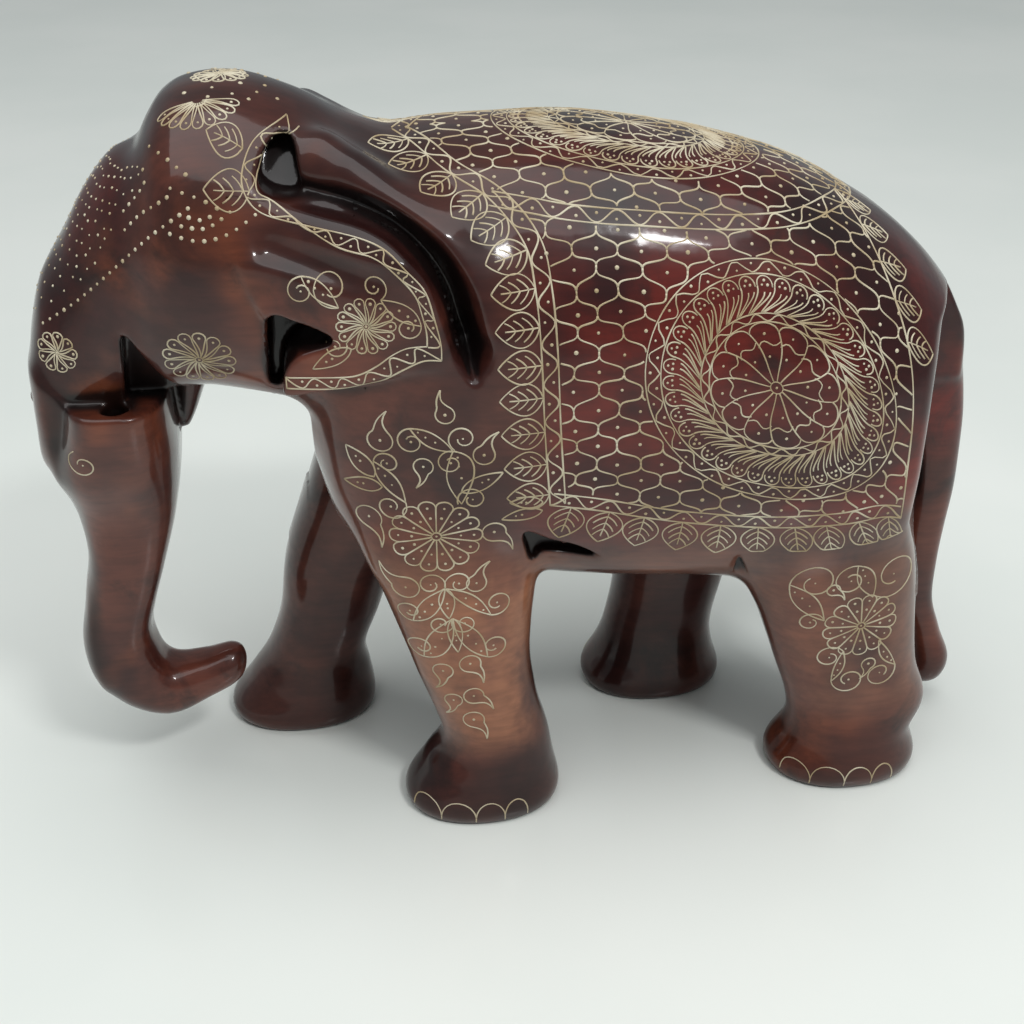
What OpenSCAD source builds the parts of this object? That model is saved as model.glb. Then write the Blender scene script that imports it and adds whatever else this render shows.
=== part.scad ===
// Carved wooden elephant in a walking stance.
// The figure is carved from a blank of sawn blocks. Each block runs with the grain of its own limb,
// and flat dowelled joints hold the blocks together.
// Millimetres, +Z up, the head towards -X. The elephant's left side faces -Y.
// The origin is on the floor, under the middle of the figure's length and width.

/* [Body] */
// height of the back above the floor
back_h = 211; // [160:1:280]
// height of the belly above the floor
belly_h = 72; // [50:1:100]
// full width of the body at the flanks
body_w = 108; // [80:1:140]
// distance from the origin to the rearmost point of the rump
rump_x = 128; // [110:1:160]

/* [Head] */
// distance from the origin forward to the flat neck joint
neck_x = 54; // [40:1:70]
// distance from the origin forward to the front of the trunk root
face_x = 145; // [130:1:170]
// height of the top of the head dome
crown_h = 226; // [180:1:290]
// height of the flat underside of the head, where the trunk and the jaw join
chin_h = 145; // [120:1:180]
// full width of the head at the cheeks
head_w = 84; // [60:1:110]
// distance from the middle plane to the flat seat of an ear
ear_seat_y = 36; // [28:1:44]
// thickness of an ear block
ear_t = 15; // [8:1:24]

/* [Trunk] */
// full width across the tusk ledges
ledge_w = 62; // [44:1:76]
// radius of an empty tusk socket
socket_r = 3.4; // [2:0.1:6]
// depth of an empty tusk socket
socket_depth = 12; // [6:1:20]
// distance from the middle plane to the middle of a tusk socket
socket_y = 26; // [18:1:32]

/* [Legs and tail] */
// height of the flat joints on top of the legs
leg_joint_h = 104; // [80:1:130]
// length of a foot along the body
foot_l = 50; // [36:1:64]
// width of a foot across the body
foot_w = 38; // [28:1:50]
// distance from the middle plane to the middle of each foot
foot_y = 27; // [22:1:40]
// distance from the middle plane to the inner joint face of each leg
leg_inner_y = 5; // [3:1:12]
// width of the tail
tail_w = 13; // [8:1:20]

/* [Dowels] */
// radius of the leg, neck and trunk dowels
dowel_r = 5; // [3:0.5:8]
// radius of the ear and tail dowels
small_dowel_r = 2.5; // [1.5:0.5:4]
// radius of the pin in the lower jaw
jaw_pin_r = 1.5; // [1:0.5:2]
// space left at each end of a dowel hole
dowel_end_gap = 1; // [0.5:0.5:3]

/* [Hidden] */

half_w = body_w / 2;
half_head = head_w / 2;
ring_n = 32;
steps = 3;
far = 700;

body_colour = "#5b2418";
limb_colour = "#4f2519";
dowel_colour = "#c89b66";

dowel_len = 36;
small_dowel_len = 16;
jaw_pin_len = 10;
dowel_sides = 36;

// A station is [x, y, z, a, b, lean, power]. It places one superellipse ring at x, y, z.
// The half size a lies in the XZ plane, leaning up from +X by lean degrees. The half size b lies along Y.
// A power of 2 gives an ellipse, and a larger power gives squarer sides.
function body_ring(x, top, bottom, half, power) =
    [x, 0, (top + bottom) / 2, (top - bottom) / 2, half, 90, power];
function leg_ring(x, y, z, front_back, side, power) = [x, y, z, front_back, side, 0, power];

// From the rump forward to the chest.
body_stations = [
    body_ring(rump_x, back_h - 66, belly_h + 48, 0.10 * half_w, 2),
    body_ring(rump_x - 3, back_h - 60, belly_h + 36, 0.36 * half_w, 2),
    body_ring(rump_x - 12, back_h - 46, belly_h + 16, 0.70 * half_w, 2.2),
    body_ring(rump_x - 30, back_h - 29, belly_h + 2, 0.93 * half_w, 2.5),
    body_ring(rump_x - 58, back_h - 14, belly_h - 2, half_w, 2.7),
    body_ring(rump_x - 88, back_h - 5, belly_h, half_w, 2.8),
    body_ring(10, back_h, belly_h + 3, 0.98 * half_w, 2.8),
    body_ring(-20, back_h, belly_h + 8, 0.95 * half_w, 2.7),
    body_ring(-40, back_h - 1, belly_h + 10, 0.91 * half_w, 2.6),
    body_ring(-neck_x, back_h - 1, belly_h + 14, 0.86 * half_w, 2.5),
    body_ring(-neck_x - 9, back_h - 10, belly_h + 24, 0.76 * half_w, 2.4),
    body_ring(-neck_x - 15, back_h - 34, belly_h + 44, 0.5 * half_w, 2.2)
];

// From the neck forward to the trunk root.
head_stations = [
    body_ring(-neck_x + 2, crown_h - 12, chin_h - 24, 0.86 * half_head, 2.3),
    body_ring(-neck_x - 12, crown_h - 6, chin_h - 14, 0.96 * half_head, 2.4),
    body_ring(-neck_x - 28, crown_h, chin_h - 6, half_head, 2.5),
    body_ring(-neck_x - 42, crown_h - 4, chin_h - 2, 0.96 * half_head, 2.5),
    body_ring(-face_x + 37, crown_h - 12, chin_h - 4, 0.80 * half_head, 2.4),
    body_ring(-face_x + 22, crown_h - 26, chin_h - 14, 0.58 * half_head, 2.4),
    body_ring(-face_x + 10, crown_h - 44, chin_h - 24, 0.50 * half_head, 2.4),
    body_ring(-face_x + 3, crown_h - 58, chin_h - 24, 0.42 * half_head, 2.4),
    body_ring(-face_x, crown_h - 68, chin_h - 14, 0.26 * half_head, 2.2)
];

// From the tip of the trunk back and up to its root.
trunk_root_x = -face_x + 19;
trunk_stations = [
    [trunk_root_x + 29, 0, 43, 2.5, 2.5, 108, 2],
    [trunk_root_x + 26, 0, 40, 6.0, 6.5, 105, 2],
    [trunk_root_x + 17, 0, 36, 7.5, 8.5, 96, 2.2],
    [trunk_root_x + 5, 0, 33.5, 9.5, 10.5, 82, 2.4],
    [trunk_root_x - 5, 0, 41, 11, 11.5, 42, 2.5],
    [trunk_root_x - 8, 0, 57, 10.5, 12.5, 12, 2.6],
    [trunk_root_x - 2, 0, 82, 11.2, 15, 0, 2.8],
    [trunk_root_x + 1.5, 0, 104, 14, 19, 0, 3],
    [trunk_root_x + 1, 0, 124, 17.5, 0.43 * ledge_w, 0, 3.2],
    [trunk_root_x, 0, chin_h, 18.5, 0.5 * ledge_w, 0, 3.2]
];

// From the pointed lip up to the flat joint under the head.
jaw_x = -102;
jaw_stations = [
    [jaw_x - 3.5, 0, chin_h - 19, 1, 2, 0, 2],
    [jaw_x - 3, 0, chin_h - 15, 2.5, 5, 0, 2],
    [jaw_x - 1.5, 0, chin_h - 8, 4, 8, 0, 2.3],
    [jaw_x, 0, chin_h, 5.5, 11, 0, 2.4]
];

// From the tassel up to the rump. The upper end is buried in the rump.
tail_x = rump_x - 1;
tail_joint_x = rump_x - 9;
tail_stations = [
    [tail_x + 10, 0, 7, 2.5, 2.5, 0, 2],
    [tail_x + 10.5, 0, 12, 6.5, 7.5, 0, 2],
    [tail_x + 10.8, 0, 20, 7, 8.5, 0, 2.2],
    [tail_x + 7.5, 0, 31, 5, 6.5, 0, 2.2],
    [tail_x + 5, 0, 44, 4.8, 0.38 * tail_w, 0, 2.4],
    [tail_x + 1.5, 0, 80, 5.6, 0.46 * tail_w, 5, 2.5],
    [tail_x - 2.5, 0, 112, 6, 0.5 * tail_w, 12, 2.5],
    [tail_x - 6, 0, 132, 7, 0.52 * tail_w, 30, 2.3],
    [tail_x - 12, 0, 142, 7, 0.5 * tail_w, 60, 2.2]
];

// One leg, from the sole up. foot_x, ankle_x, knee_x and top_x are the middles of the foot, the ankle,
// the knee and the joint. knee_a and top_a are half the lengths of the knee and the joint along X.
function leg_stations(side, foot_x, ankle_x, knee_x, top_x, knee_a, top_a) = [
    leg_ring(foot_x, side * foot_y, 0, 0.5 * foot_l - 1, 0.5 * foot_w - 1, 2.2),
    leg_ring(foot_x, side * foot_y, 5, 0.5 * foot_l, 0.5 * foot_w, 2.2),
    leg_ring((foot_x + ankle_x) / 2, side * foot_y, 15, 0.5 * foot_l - 4, 0.5 * foot_w - 2.5, 2.2),
    leg_ring(ankle_x, side * foot_y, 26, knee_a - 2, 0.38 * foot_w, 2.2),
    leg_ring((ankle_x + knee_x) / 2, side * foot_y, 42, knee_a - 2, 0.39 * foot_w, 2.3),
    leg_ring(knee_x, side * foot_y, 62, knee_a, 0.43 * foot_w, 2.4),
    leg_ring((knee_x + top_x) / 2, side * foot_y, 83, (knee_a + top_a) / 2, 0.48 * foot_w, 2.5),
    leg_ring(top_x, side * foot_y, leg_joint_h, top_a, 0.5 * foot_w, 2.6)
];

front_left_stations = leg_stations(-1, -23, -19, -27, -32, 19, 27);
front_right_stations = leg_stations(1, -80, -74, -63, -42, 19, 26);
hind_left_stations = leg_stations(-1, 98, 101, 90, 77, 25, 33);
hind_right_stations = leg_stations(1, 45, 47, 52, 60, 21, 30);

// The middle and the length along X of the notch in the body above each leg.
front_left_notch = [-34, 66];
front_right_notch = [-40, 66];
hind_left_notch = [78, 70];
hind_right_notch = [62, 70];

// The outline of an ear seen from the side, as [x, z].
ear_outline = [
    [-70, 219],
    [-62, 211],
    [-50, 203],
    [-39, 190],
    [-34, 172],
    [-37, 164],
    [-52, 161],
    [-66, 156],
    [-77, 155],
    [-76, 170],
    [-82, 188],
    [-81, 207]
];

// The point that an ear thins towards, and each layer of the plate as [height / ear_t, outline scale].
ear_pivot = [-48, 184];
ear_layers = [[0, 1], [0.35, 1], [0.62, 0.95], [0.8, 0.84], [0.92, 0.66], [0.98, 0.42], [1, 0.2]];

neck_dowel_y = 20;
neck_dowel_z = 178;
tail_dowel_z = 128;
socket_x = -121;
socket_tilt = 25;

// ---- loft functions ----

function signed_power(v, e) = sign(v) * pow(abs(v), e);

function ring_points(s) = [
    for (i = [0 : ring_n - 1])
        let (t = 360 * (i + 0.5) / ring_n,
             u = s[3] * signed_power(cos(t), 2 / s[6]),
             v = s[4] * signed_power(sin(t), 2 / s[6]))
        [s[0] + u * cos(s[5]), s[1] + v, s[2] + u * sin(s[5])]
];

function catmull(p0, p1, p2, p3, t) =
    0.5 * (2 * p1 + (p2 - p0) * t + (2 * p0 - 5 * p1 + 4 * p2 - p3) * t * t
           + (3 * p1 - p0 - 3 * p2 + p3) * t * t * t);

// The points or stations of list, with smooth ones between them.
function smooth_open(list, k) = let (last = len(list) - 1) [
    for (i = [0 : last - 1], j = [0 : k - 1])
        catmull(list[max(i - 1, 0)], list[i], list[i + 1], list[min(i + 2, last)], j / k),
    list[last]
];

function smooth_loop(list, k) = let (n = len(list)) [
    for (i = [0 : n - 1], j = [0 : k - 1])
        catmull(list[(i + n - 1) % n], list[i], list[(i + 1) % n], list[(i + 2) % n], j / k)
];

module skin(rings) {
    n = len(rings[0]);
    last = len(rings) - 1;
    sides = [
        for (r = [0 : last - 1], i = [0 : n - 1])
            let (j = (i + 1) % n)
            each [[r * n + i, (r + 1) * n + i, r * n + j], [r * n + j, (r + 1) * n + i, (r + 1) * n + j]]
    ];
    first_cap = [for (i = [0 : n - 1]) i];
    last_cap = [for (i = [n - 1 : -1 : 0]) last * n + i];
    polyhedron([for (ring = rings, p = ring) p], concat(sides, [first_cap, last_cap]));
}

module loft(stations) {
    skin([for (s = smooth_open(stations, steps)) ring_points(s)]);
}

// ---- joint planes ----

module in_front_of(x) {
    translate([x - far, -far / 2, -far / 2]) cube(far);
}

module behind(x) {
    translate([x, -far / 2, -far / 2]) cube(far);
}

module above(z) {
    translate([-far / 2, -far / 2, z]) cube(far);
}

// The corner of the body blank that a leg block fills. notch is [middle, length] along X.
module leg_corner(side, notch) {
    translate([notch[0] - notch[1] / 2, side > 0 ? leg_inner_y : -leg_inner_y - far, leg_joint_h - far])
        cube([notch[1], far, far]);
}

// Everything outside an ear seat within the outline of the ear.
module ear_seat(side) {
    translate([0, side > 0 ? ear_seat_y + far : -ear_seat_y, 0])
        rotate([90, 0, 0])
            linear_extrude(far)
                polygon(smooth_loop(ear_outline, 3));
}

// ---- dowels ----

// A round dowel along Z with its middle at the joint.
module dowel(r, length) {
    chamfer = r / 4;
    color(dowel_colour)
        rotate_extrude($fn = dowel_sides)
            polygon([
                [0, -length / 2],
                [r - chamfer, -length / 2],
                [r, -length / 2 + chamfer],
                [r, length / 2 - chamfer],
                [r - chamfer, length / 2],
                [0, length / 2]
            ]);
}

module dowel_hole(r, length) {
    cylinder(h = length + 2 * dowel_end_gap, r = r, center = true, $fn = dowel_sides);
}

// Each joint has one place, which its dowel and both of its holes share.
module at_leg_joint(stations) {
    top = stations[len(stations) - 1];
    translate([top[0], top[1], leg_joint_h]) children();
}

module at_neck_joint(side) {
    translate([-neck_x, side * neck_dowel_y, neck_dowel_z]) rotate([0, 90, 0]) children();
}

module at_trunk_joint() {
    translate([trunk_root_x, 0, chin_h]) children();
}

module at_jaw_joint() {
    translate([jaw_x, 0, chin_h]) children();
}

module at_ear_joint(side) {
    translate([ear_pivot[0], side * ear_seat_y, ear_pivot[1]]) rotate([90, 0, 0]) children();
}

module at_tail_joint() {
    translate([tail_joint_x, 0, tail_dowel_z]) rotate([0, 90, 0]) children();
}

// ---- blocks ----

module torso_block() {
    color(body_colour)
        difference() {
            loft(body_stations);
            intersection() {
                in_front_of(-neck_x);
                above(chin_h);
            }
            behind(tail_joint_x);
            leg_corner(-1, front_left_notch);
            leg_corner(1, front_right_notch);
            leg_corner(-1, hind_left_notch);
            leg_corner(1, hind_right_notch);
            for (side = [-1, 1]) {
                ear_seat(side);
                at_neck_joint(side) dowel_hole(dowel_r, dowel_len);
            }
            at_leg_joint(front_left_stations) dowel_hole(dowel_r, dowel_len);
            at_leg_joint(front_right_stations) dowel_hole(dowel_r, dowel_len);
            at_leg_joint(hind_left_stations) dowel_hole(dowel_r, dowel_len);
            at_leg_joint(hind_right_stations) dowel_hole(dowel_r, dowel_len);
            at_tail_joint() dowel_hole(small_dowel_r, small_dowel_len);
        }
}

module head_block() {
    color(body_colour)
        difference() {
            intersection() {
                loft(head_stations);
                in_front_of(-neck_x);
                above(chin_h);
            }
            for (side = [-1, 1]) {
                ear_seat(side);
                at_neck_joint(side) dowel_hole(dowel_r, dowel_len);
                at_ear_joint(side) dowel_hole(small_dowel_r, small_dowel_len);
            }
            at_trunk_joint() dowel_hole(dowel_r, dowel_len);
            at_jaw_joint() dowel_hole(jaw_pin_r, jaw_pin_len);
        }
}

// The trunk, with an empty tusk socket drilled into each ledge beside the face.
module trunk_block() {
    color(limb_colour)
        difference() {
            loft(trunk_stations);
            at_trunk_joint() dowel_hole(dowel_r, dowel_len);
            for (side = [-1, 1])
                translate([socket_x, side * socket_y, chin_h])
                    rotate([-side * socket_tilt, 0, 0])
                        translate([0, 0, -socket_depth])
                            cylinder(h = 2 * socket_depth, r = socket_r, $fn = 48);
        }
}

module lower_jaw() {
    color(limb_colour)
        difference() {
            loft(jaw_stations);
            at_jaw_joint() dowel_hole(jaw_pin_r, jaw_pin_len);
        }
}

// A plate on its seat that thins towards its front edge, where it runs into the cheek.
module right_ear() {
    outline = smooth_loop(ear_outline, 3);
    color(body_colour)
        difference() {
            skin([
                for (layer = ear_layers)
                    [for (p = outline)
                        let (q = ear_pivot + layer[1] * (p - ear_pivot))
                        [q[0], ear_seat_y + layer[0] * ear_t, q[1]]]
            ]);
            at_ear_joint(1) dowel_hole(small_dowel_r, small_dowel_len);
        }
}

module left_ear() {
    mirror([0, 1, 0]) right_ear();
}

// A leg block is the leg and the corner of the body above it, under one flat joint.
module leg_block(side, stations, notch) {
    color(limb_colour)
        difference() {
            union() {
                loft(stations);
                intersection() {
                    loft(body_stations);
                    leg_corner(side, notch);
                }
            }
            at_leg_joint(stations) dowel_hole(dowel_r, dowel_len);
        }
}

module front_left_leg() {
    leg_block(-1, front_left_stations, front_left_notch);
}

module front_right_leg() {
    leg_block(1, front_right_stations, front_right_notch);
}

module hind_left_leg() {
    leg_block(-1, hind_left_stations, hind_left_notch);
}

module hind_right_leg() {
    leg_block(1, hind_right_stations, hind_right_notch);
}

// The tail block carries the point of the rump, and the tail hangs from it.
module tail_block() {
    color(limb_colour)
        difference() {
            intersection() {
                union() {
                    loft(body_stations);
                    loft(tail_stations);
                }
                behind(tail_joint_x);
            }
            at_tail_joint() dowel_hole(small_dowel_r, small_dowel_len);
        }
}

module front_left_dowel() {
    at_leg_joint(front_left_stations) dowel(dowel_r, dowel_len);
}

module front_right_dowel() {
    at_leg_joint(front_right_stations) dowel(dowel_r, dowel_len);
}

module hind_left_dowel() {
    at_leg_joint(hind_left_stations) dowel(dowel_r, dowel_len);
}

module hind_right_dowel() {
    at_leg_joint(hind_right_stations) dowel(dowel_r, dowel_len);
}

module neck_dowel_left() {
    at_neck_joint(-1) dowel(dowel_r, dowel_len);
}

module neck_dowel_right() {
    at_neck_joint(1) dowel(dowel_r, dowel_len);
}

module trunk_dowel() {
    at_trunk_joint() dowel(dowel_r, dowel_len);
}

module jaw_pin() {
    at_jaw_joint() dowel(jaw_pin_r, jaw_pin_len);
}

module left_ear_dowel() {
    at_ear_joint(-1) dowel(small_dowel_r, small_dowel_len);
}

module right_ear_dowel() {
    at_ear_joint(1) dowel(small_dowel_r, small_dowel_len);
}

module tail_dowel() {
    at_tail_joint() dowel(small_dowel_r, small_dowel_len);
}

torso_block();
head_block();
trunk_block();
lower_jaw();
left_ear();
right_ear();
front_left_leg();
front_right_leg();
hind_left_leg();
hind_right_leg();
tail_block();
front_left_dowel();
front_right_dowel();
hind_left_dowel();
hind_right_dowel();
neck_dowel_left();
neck_dowel_right();
trunk_dowel();
jaw_pin();
left_ear_dowel();
right_ear_dowel();
tail_dowel();
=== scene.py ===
"""A carved wooden elephant, stained dark red, lacquered, and painted with fine raised cream lines.

The figure is sculpted as one distance field from lofts and carved cuts. The field is then parted along
the flat joints of the CAD blocks, so each block is its own closed mesh and the surface runs on across the
joints. Lengths are millimetres until a mesh is made, and meshes are in metres.
"""

import math

import bpy
import numpy as np
import openvdb
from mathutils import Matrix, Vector


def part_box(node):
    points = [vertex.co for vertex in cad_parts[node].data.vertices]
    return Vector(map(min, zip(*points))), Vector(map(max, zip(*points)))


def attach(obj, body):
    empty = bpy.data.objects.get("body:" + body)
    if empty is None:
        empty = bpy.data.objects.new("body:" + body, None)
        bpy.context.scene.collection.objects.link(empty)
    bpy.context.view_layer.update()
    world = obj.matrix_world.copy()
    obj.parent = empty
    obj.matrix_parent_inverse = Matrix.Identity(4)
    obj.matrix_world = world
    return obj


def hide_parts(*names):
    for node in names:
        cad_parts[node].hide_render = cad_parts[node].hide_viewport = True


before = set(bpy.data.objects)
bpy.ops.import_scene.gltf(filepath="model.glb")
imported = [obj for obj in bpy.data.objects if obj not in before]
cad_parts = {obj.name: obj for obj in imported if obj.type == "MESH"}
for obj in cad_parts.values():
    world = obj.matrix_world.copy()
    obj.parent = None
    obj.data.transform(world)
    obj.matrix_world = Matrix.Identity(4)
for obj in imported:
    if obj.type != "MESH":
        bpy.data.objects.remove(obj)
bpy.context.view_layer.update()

MM = 0.001
rng = np.random.default_rng(7)


def node_box(node):
    """The low and the high corner of a CAD block, in millimetres."""
    low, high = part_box(node)
    return np.array(low) / MM, np.array(high) / MM


# ---- driving dimensions ----

torso_low, torso_high = node_box("torso_block")
head_low, head_high = node_box("head_block")
leg_high = node_box("front_right_leg")[1]
tail_low, tail_high = node_box("tail_block")
jaw_high = node_box("lower_jaw")[1]
ear_low, ear_high = node_box("right_ear")

BACK_H = torso_high[2]
BELLY_H = torso_low[2] + 2
HALF_W = torso_high[1]
NECK_X = head_high[0]
FACE_X = head_low[0]
CROWN_H = head_high[2]
CHIN_H = head_low[2]
HALF_HEAD = head_high[1]
EAR_SEAT_Y = ear_low[1]
EAR_FACE_Y = ear_high[1]
LEG_JOINT_H = leg_high[2]
TAIL_JOINT_X = tail_low[0]
RUMP_X = TAIL_JOINT_X + 9
TAIL_X = RUMP_X - 1
TRUNK_X = FACE_X + 19
JAW_X = jaw_high[0] - 5.5

# Sizes of the design that no block's box gives.
LEG_INNER_Y = 5
FOOT_Y = 27
HALF_FOOT_L = 25
HALF_FOOT_W = 19
SOCKET_X = TRUNK_X + 5
SOCKET_Y = 26
SOCKET_R = 3.4
SOCKET_TILT = math.radians(25)
SOCKET_DEPTH = 12

# ---- the grid that the figure is sculpted on ----

VOXEL = 0.8
BAND = 12
GRID_HALF_W = 62.4
GRID_LOW = np.array([FACE_X - 6, -GRID_HALF_W, -5.0])
GRID_HIGH = np.array([tail_high[0] + 6, GRID_HALF_W, CROWN_H + 9])
SHAPE = np.round((GRID_HIGH - GRID_LOW) / VOXEL).astype(int) + 1
X, Y, Z = np.meshgrid(
    *(GRID_LOW[i] + VOXEL * np.arange(SHAPE[i]) for i in range(3)), indexing="ij", sparse=True
)
X, Y, Z = X.astype(np.float32), Y.astype(np.float32), Z.astype(np.float32)
SIDE_Y = np.abs(Y)


# ---- lofts ----

RING_SIDES = 96
RINGS_PER_STATION = 8


def body_ring(x, top, bottom, half, power):
    """A station of the body or the head: an upright ring across the figure."""
    return [x, 0, (top + bottom) / 2, (top - bottom) / 2, half, 90, power]


def leg_ring(x, y, z, front_back, side, power):
    """A station of a leg: a level ring."""
    return [x, y, z, front_back, side, 0, power]


def catmull(control, steps, closed=False):
    """A smooth curve through the rows of control."""
    p = np.array(control, float)
    q = np.concatenate([p[-1:], p, p[:2]] if closed else [p[:1], p, p[-1:]])
    t = (np.arange(steps) / steps)[:, None]
    rows = []
    for a, b, c, d in zip(q, q[1:], q[2:], q[3:]):
        square = (2 * a - 5 * b + 4 * c - d) * t**2
        cube = (3 * b - a - 3 * c + d) * t**3
        rows.append(0.5 * (2 * b + (c - a) * t + square + cube))
    curve = np.concatenate(rows)
    return curve if closed else np.concatenate([curve, p[-1:]])


def ring_points(station, count):
    """A superellipse ring: x, y, z, its two half sizes, its lean from level and its power."""
    x, y, z, a, b, lean, power = station
    t = 2 * math.pi * (np.arange(count) + 0.5) / count
    u = a * np.sign(np.cos(t)) * np.abs(np.cos(t)) ** (2 / power)
    v = b * np.sign(np.sin(t)) * np.abs(np.sin(t)) ** (2 / power)
    lean = math.radians(lean)
    return np.stack([x + u * math.cos(lean), y + v, z + u * math.sin(lean)], 1)


def skin(rings):
    """Points and triangles of the closed surface through rings of equal count."""
    rings = np.array(rings)
    last, count = len(rings) - 1, rings.shape[1]
    r, i = np.meshgrid(np.arange(last), np.arange(count), indexing="ij")
    j = (i + 1) % count
    a, b, c, d = r * count + i, (r + 1) * count + i, (r + 1) * count + j, r * count + j
    sides = np.concatenate([np.stack([a, b, d], -1), np.stack([d, b, c], -1)]).reshape(-1, 3)
    first = rings.size // 3
    points = np.concatenate([rings.reshape(-1, 3), rings[:1].mean(1), rings[-1:].mean(1)])
    k = np.arange(count)
    n = (k + 1) % count
    first_cap = np.stack([k, n, np.full(count, first)], 1)
    last_cap = np.stack([last * count + n, last * count + k, np.full(count, first + 1)], 1)
    return points, np.concatenate([sides, first_cap, last_cap])


def distance(points, triangles):
    """The signed distance to a closed surface at each grid point, held at BAND voxels beyond that."""
    level = openvdb.FloatGrid.createLevelSetFromPolygons(
        np.ascontiguousarray((points - GRID_LOW) / VOXEL, dtype=np.float32),
        triangles=np.ascontiguousarray(triangles, dtype=np.uint32),
        transform=openvdb.createLinearTransform(voxelSize=1.0),
        halfWidth=float(BAND),
    )
    field = np.empty(tuple(SHAPE), np.float32)
    level.copyToArray(field)
    return field * np.float32(VOXEL)


def loft(stations):
    """The distance to the closed form through the stations of a limb."""
    rings = [ring_points(station, RING_SIDES) for station in catmull(stations, RINGS_PER_STATION)]
    return distance(*skin(rings))


# ---- joining and cutting ----


def join(a, b, k):
    """Solids a and b as one, with a fillet about k wide."""
    h = np.maximum(np.float32(k) - np.abs(a - b), 0)
    return np.minimum(a, b) - h * h * np.float32(0.25 / k)


def keep(a, b, k):
    """What a and b share, with the new edge rounded by about k."""
    return -join(-a, -b, k)


def cut(a, b, k):
    """Solid a less solid b, with the new edge rounded by about k."""
    return -join(-a, b, k)


def ellipsoid(centre, radii):
    """About the distance to an ellipsoid and its mirror image on the other side."""
    x, y, z = (X - centre[0]) / radii[0], (SIDE_Y - centre[1]) / radii[1], (Z - centre[2]) / radii[2]
    reach = np.sqrt(x * x + y * y + z * z)
    return ((reach - 1) * min(radii)).astype(np.float32)


def nearest_on_line(points):
    """How far each grid point, seen from the side, is from a line, on which side (+ is its left) and where
    along it."""
    gx, gz = X[:, 0, :], Z[:, 0, :]
    best = np.full((SHAPE[0], SHAPE[2]), 1e9, np.float32)
    side, place = np.zeros_like(best), np.zeros_like(best)
    for i, (a, b) in enumerate(zip(points[:-1], points[1:])):
        d = b - a
        t = np.clip(((gx - a[0]) * d[0] + (gz - a[1]) * d[1]) / (d @ d), 0, 1)
        away = np.hypot(gx - a[0] - t * d[0], gz - a[1] - t * d[1])
        closer = away < best
        best[closer] = away[closer]
        side[closer] = np.sign(d[0] * (gz - a[1]) - d[1] * (gx - a[0]))[closer]
        place[closer] = (i + t)[closer]
    return best, side, place


def within(outline, x, y):
    """Which of the points at x and y lie inside a closed outline."""
    found = np.zeros(np.broadcast(x, y).shape, bool)
    for a, b in zip(outline, np.roll(outline, -1, axis=0)):
        crosses = (a[1] > y) != (b[1] > y)
        rise = b[1] - a[1] if b[1] != a[1] else 1e-9
        found ^= crosses & (x < (b[0] - a[0]) * (y - a[1]) / rise + a[0])
    return found


def prism(outline):
    """The distance to an outline in x and z that runs right through the figure from side to side."""
    loop = catmull(outline, 4, closed=True)
    away = nearest_on_line(np.concatenate([loop, loop[:1]]))[0]
    return np.where(within(loop, X[:, 0, :], Z[:, 0, :]), -away, away)[:, None, :]


def waves(spacing, seed):
    """Smooth random waves between about -1 and 1 with a swell every spacing millimetres."""
    coarse = np.ceil(SHAPE * VOXEL / spacing).astype(int) + 4
    lattice = np.random.default_rng(seed).uniform(-1.6, 1.6, tuple(coarse)).astype(np.float32)
    for axis in range(3):
        place = np.arange(SHAPE[axis]) * VOXEL / spacing + 1
        cell = place.astype(int)
        t = place - cell
        spline = [(1 - t) ** 3, 3 * t**3 - 6 * t**2 + 4, -3 * t**3 + 3 * t**2 + 3 * t + 1, t**3]
        weights = np.zeros((SHAPE[axis], coarse[axis]), np.float32)
        for k in range(4):
            weights[np.arange(SHAPE[axis]), cell - 1 + k] += spline[k] / 6
        lattice = np.moveaxis(np.tensordot(weights, lattice, (1, axis)), 0, axis)
    return lattice


def soften(field):
    """Averages away steps smaller than a voxel."""
    for axis in range(3):
        padded = np.pad(field, [(1, 1) if k == axis else (0, 0) for k in range(3)], mode="edge")
        low = np.take(padded, range(0, field.shape[axis]), axis)
        high = np.take(padded, range(2, field.shape[axis] + 2), axis)
        field = 0.5 * field + 0.25 * (low + high)
    return field


# ---- the limbs ----

body_stations = [
    body_ring(RUMP_X, BACK_H - 66, BELLY_H + 48, 0.10 * HALF_W, 2),
    body_ring(RUMP_X - 3, BACK_H - 60, BELLY_H + 36, 0.36 * HALF_W, 2),
    body_ring(RUMP_X - 12, BACK_H - 46, BELLY_H + 16, 0.70 * HALF_W, 2.2),
    body_ring(RUMP_X - 30, BACK_H - 29, BELLY_H + 2, 0.93 * HALF_W, 2.3),
    body_ring(RUMP_X - 58, BACK_H - 14, BELLY_H - 2, HALF_W, 2.4),
    body_ring(RUMP_X - 88, BACK_H - 5, BELLY_H, HALF_W, 2.4),
    body_ring(10, BACK_H, BELLY_H + 3, 0.98 * HALF_W, 2.4),
    body_ring(-20, BACK_H, BELLY_H + 8, 0.95 * HALF_W, 2.4),
    body_ring(-40, BACK_H - 1, BELLY_H + 10, 0.89 * HALF_W, 2.4),
    body_ring(NECK_X, BACK_H - 1, BELLY_H + 14, 0.80 * HALF_W, 2.3),
    body_ring(NECK_X - 9, BACK_H - 10, BELLY_H + 24, 0.70 * HALF_W, 2.2),
    body_ring(NECK_X - 15, BACK_H - 34, BELLY_H + 44, 0.48 * HALF_W, 2.2),
]

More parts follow.
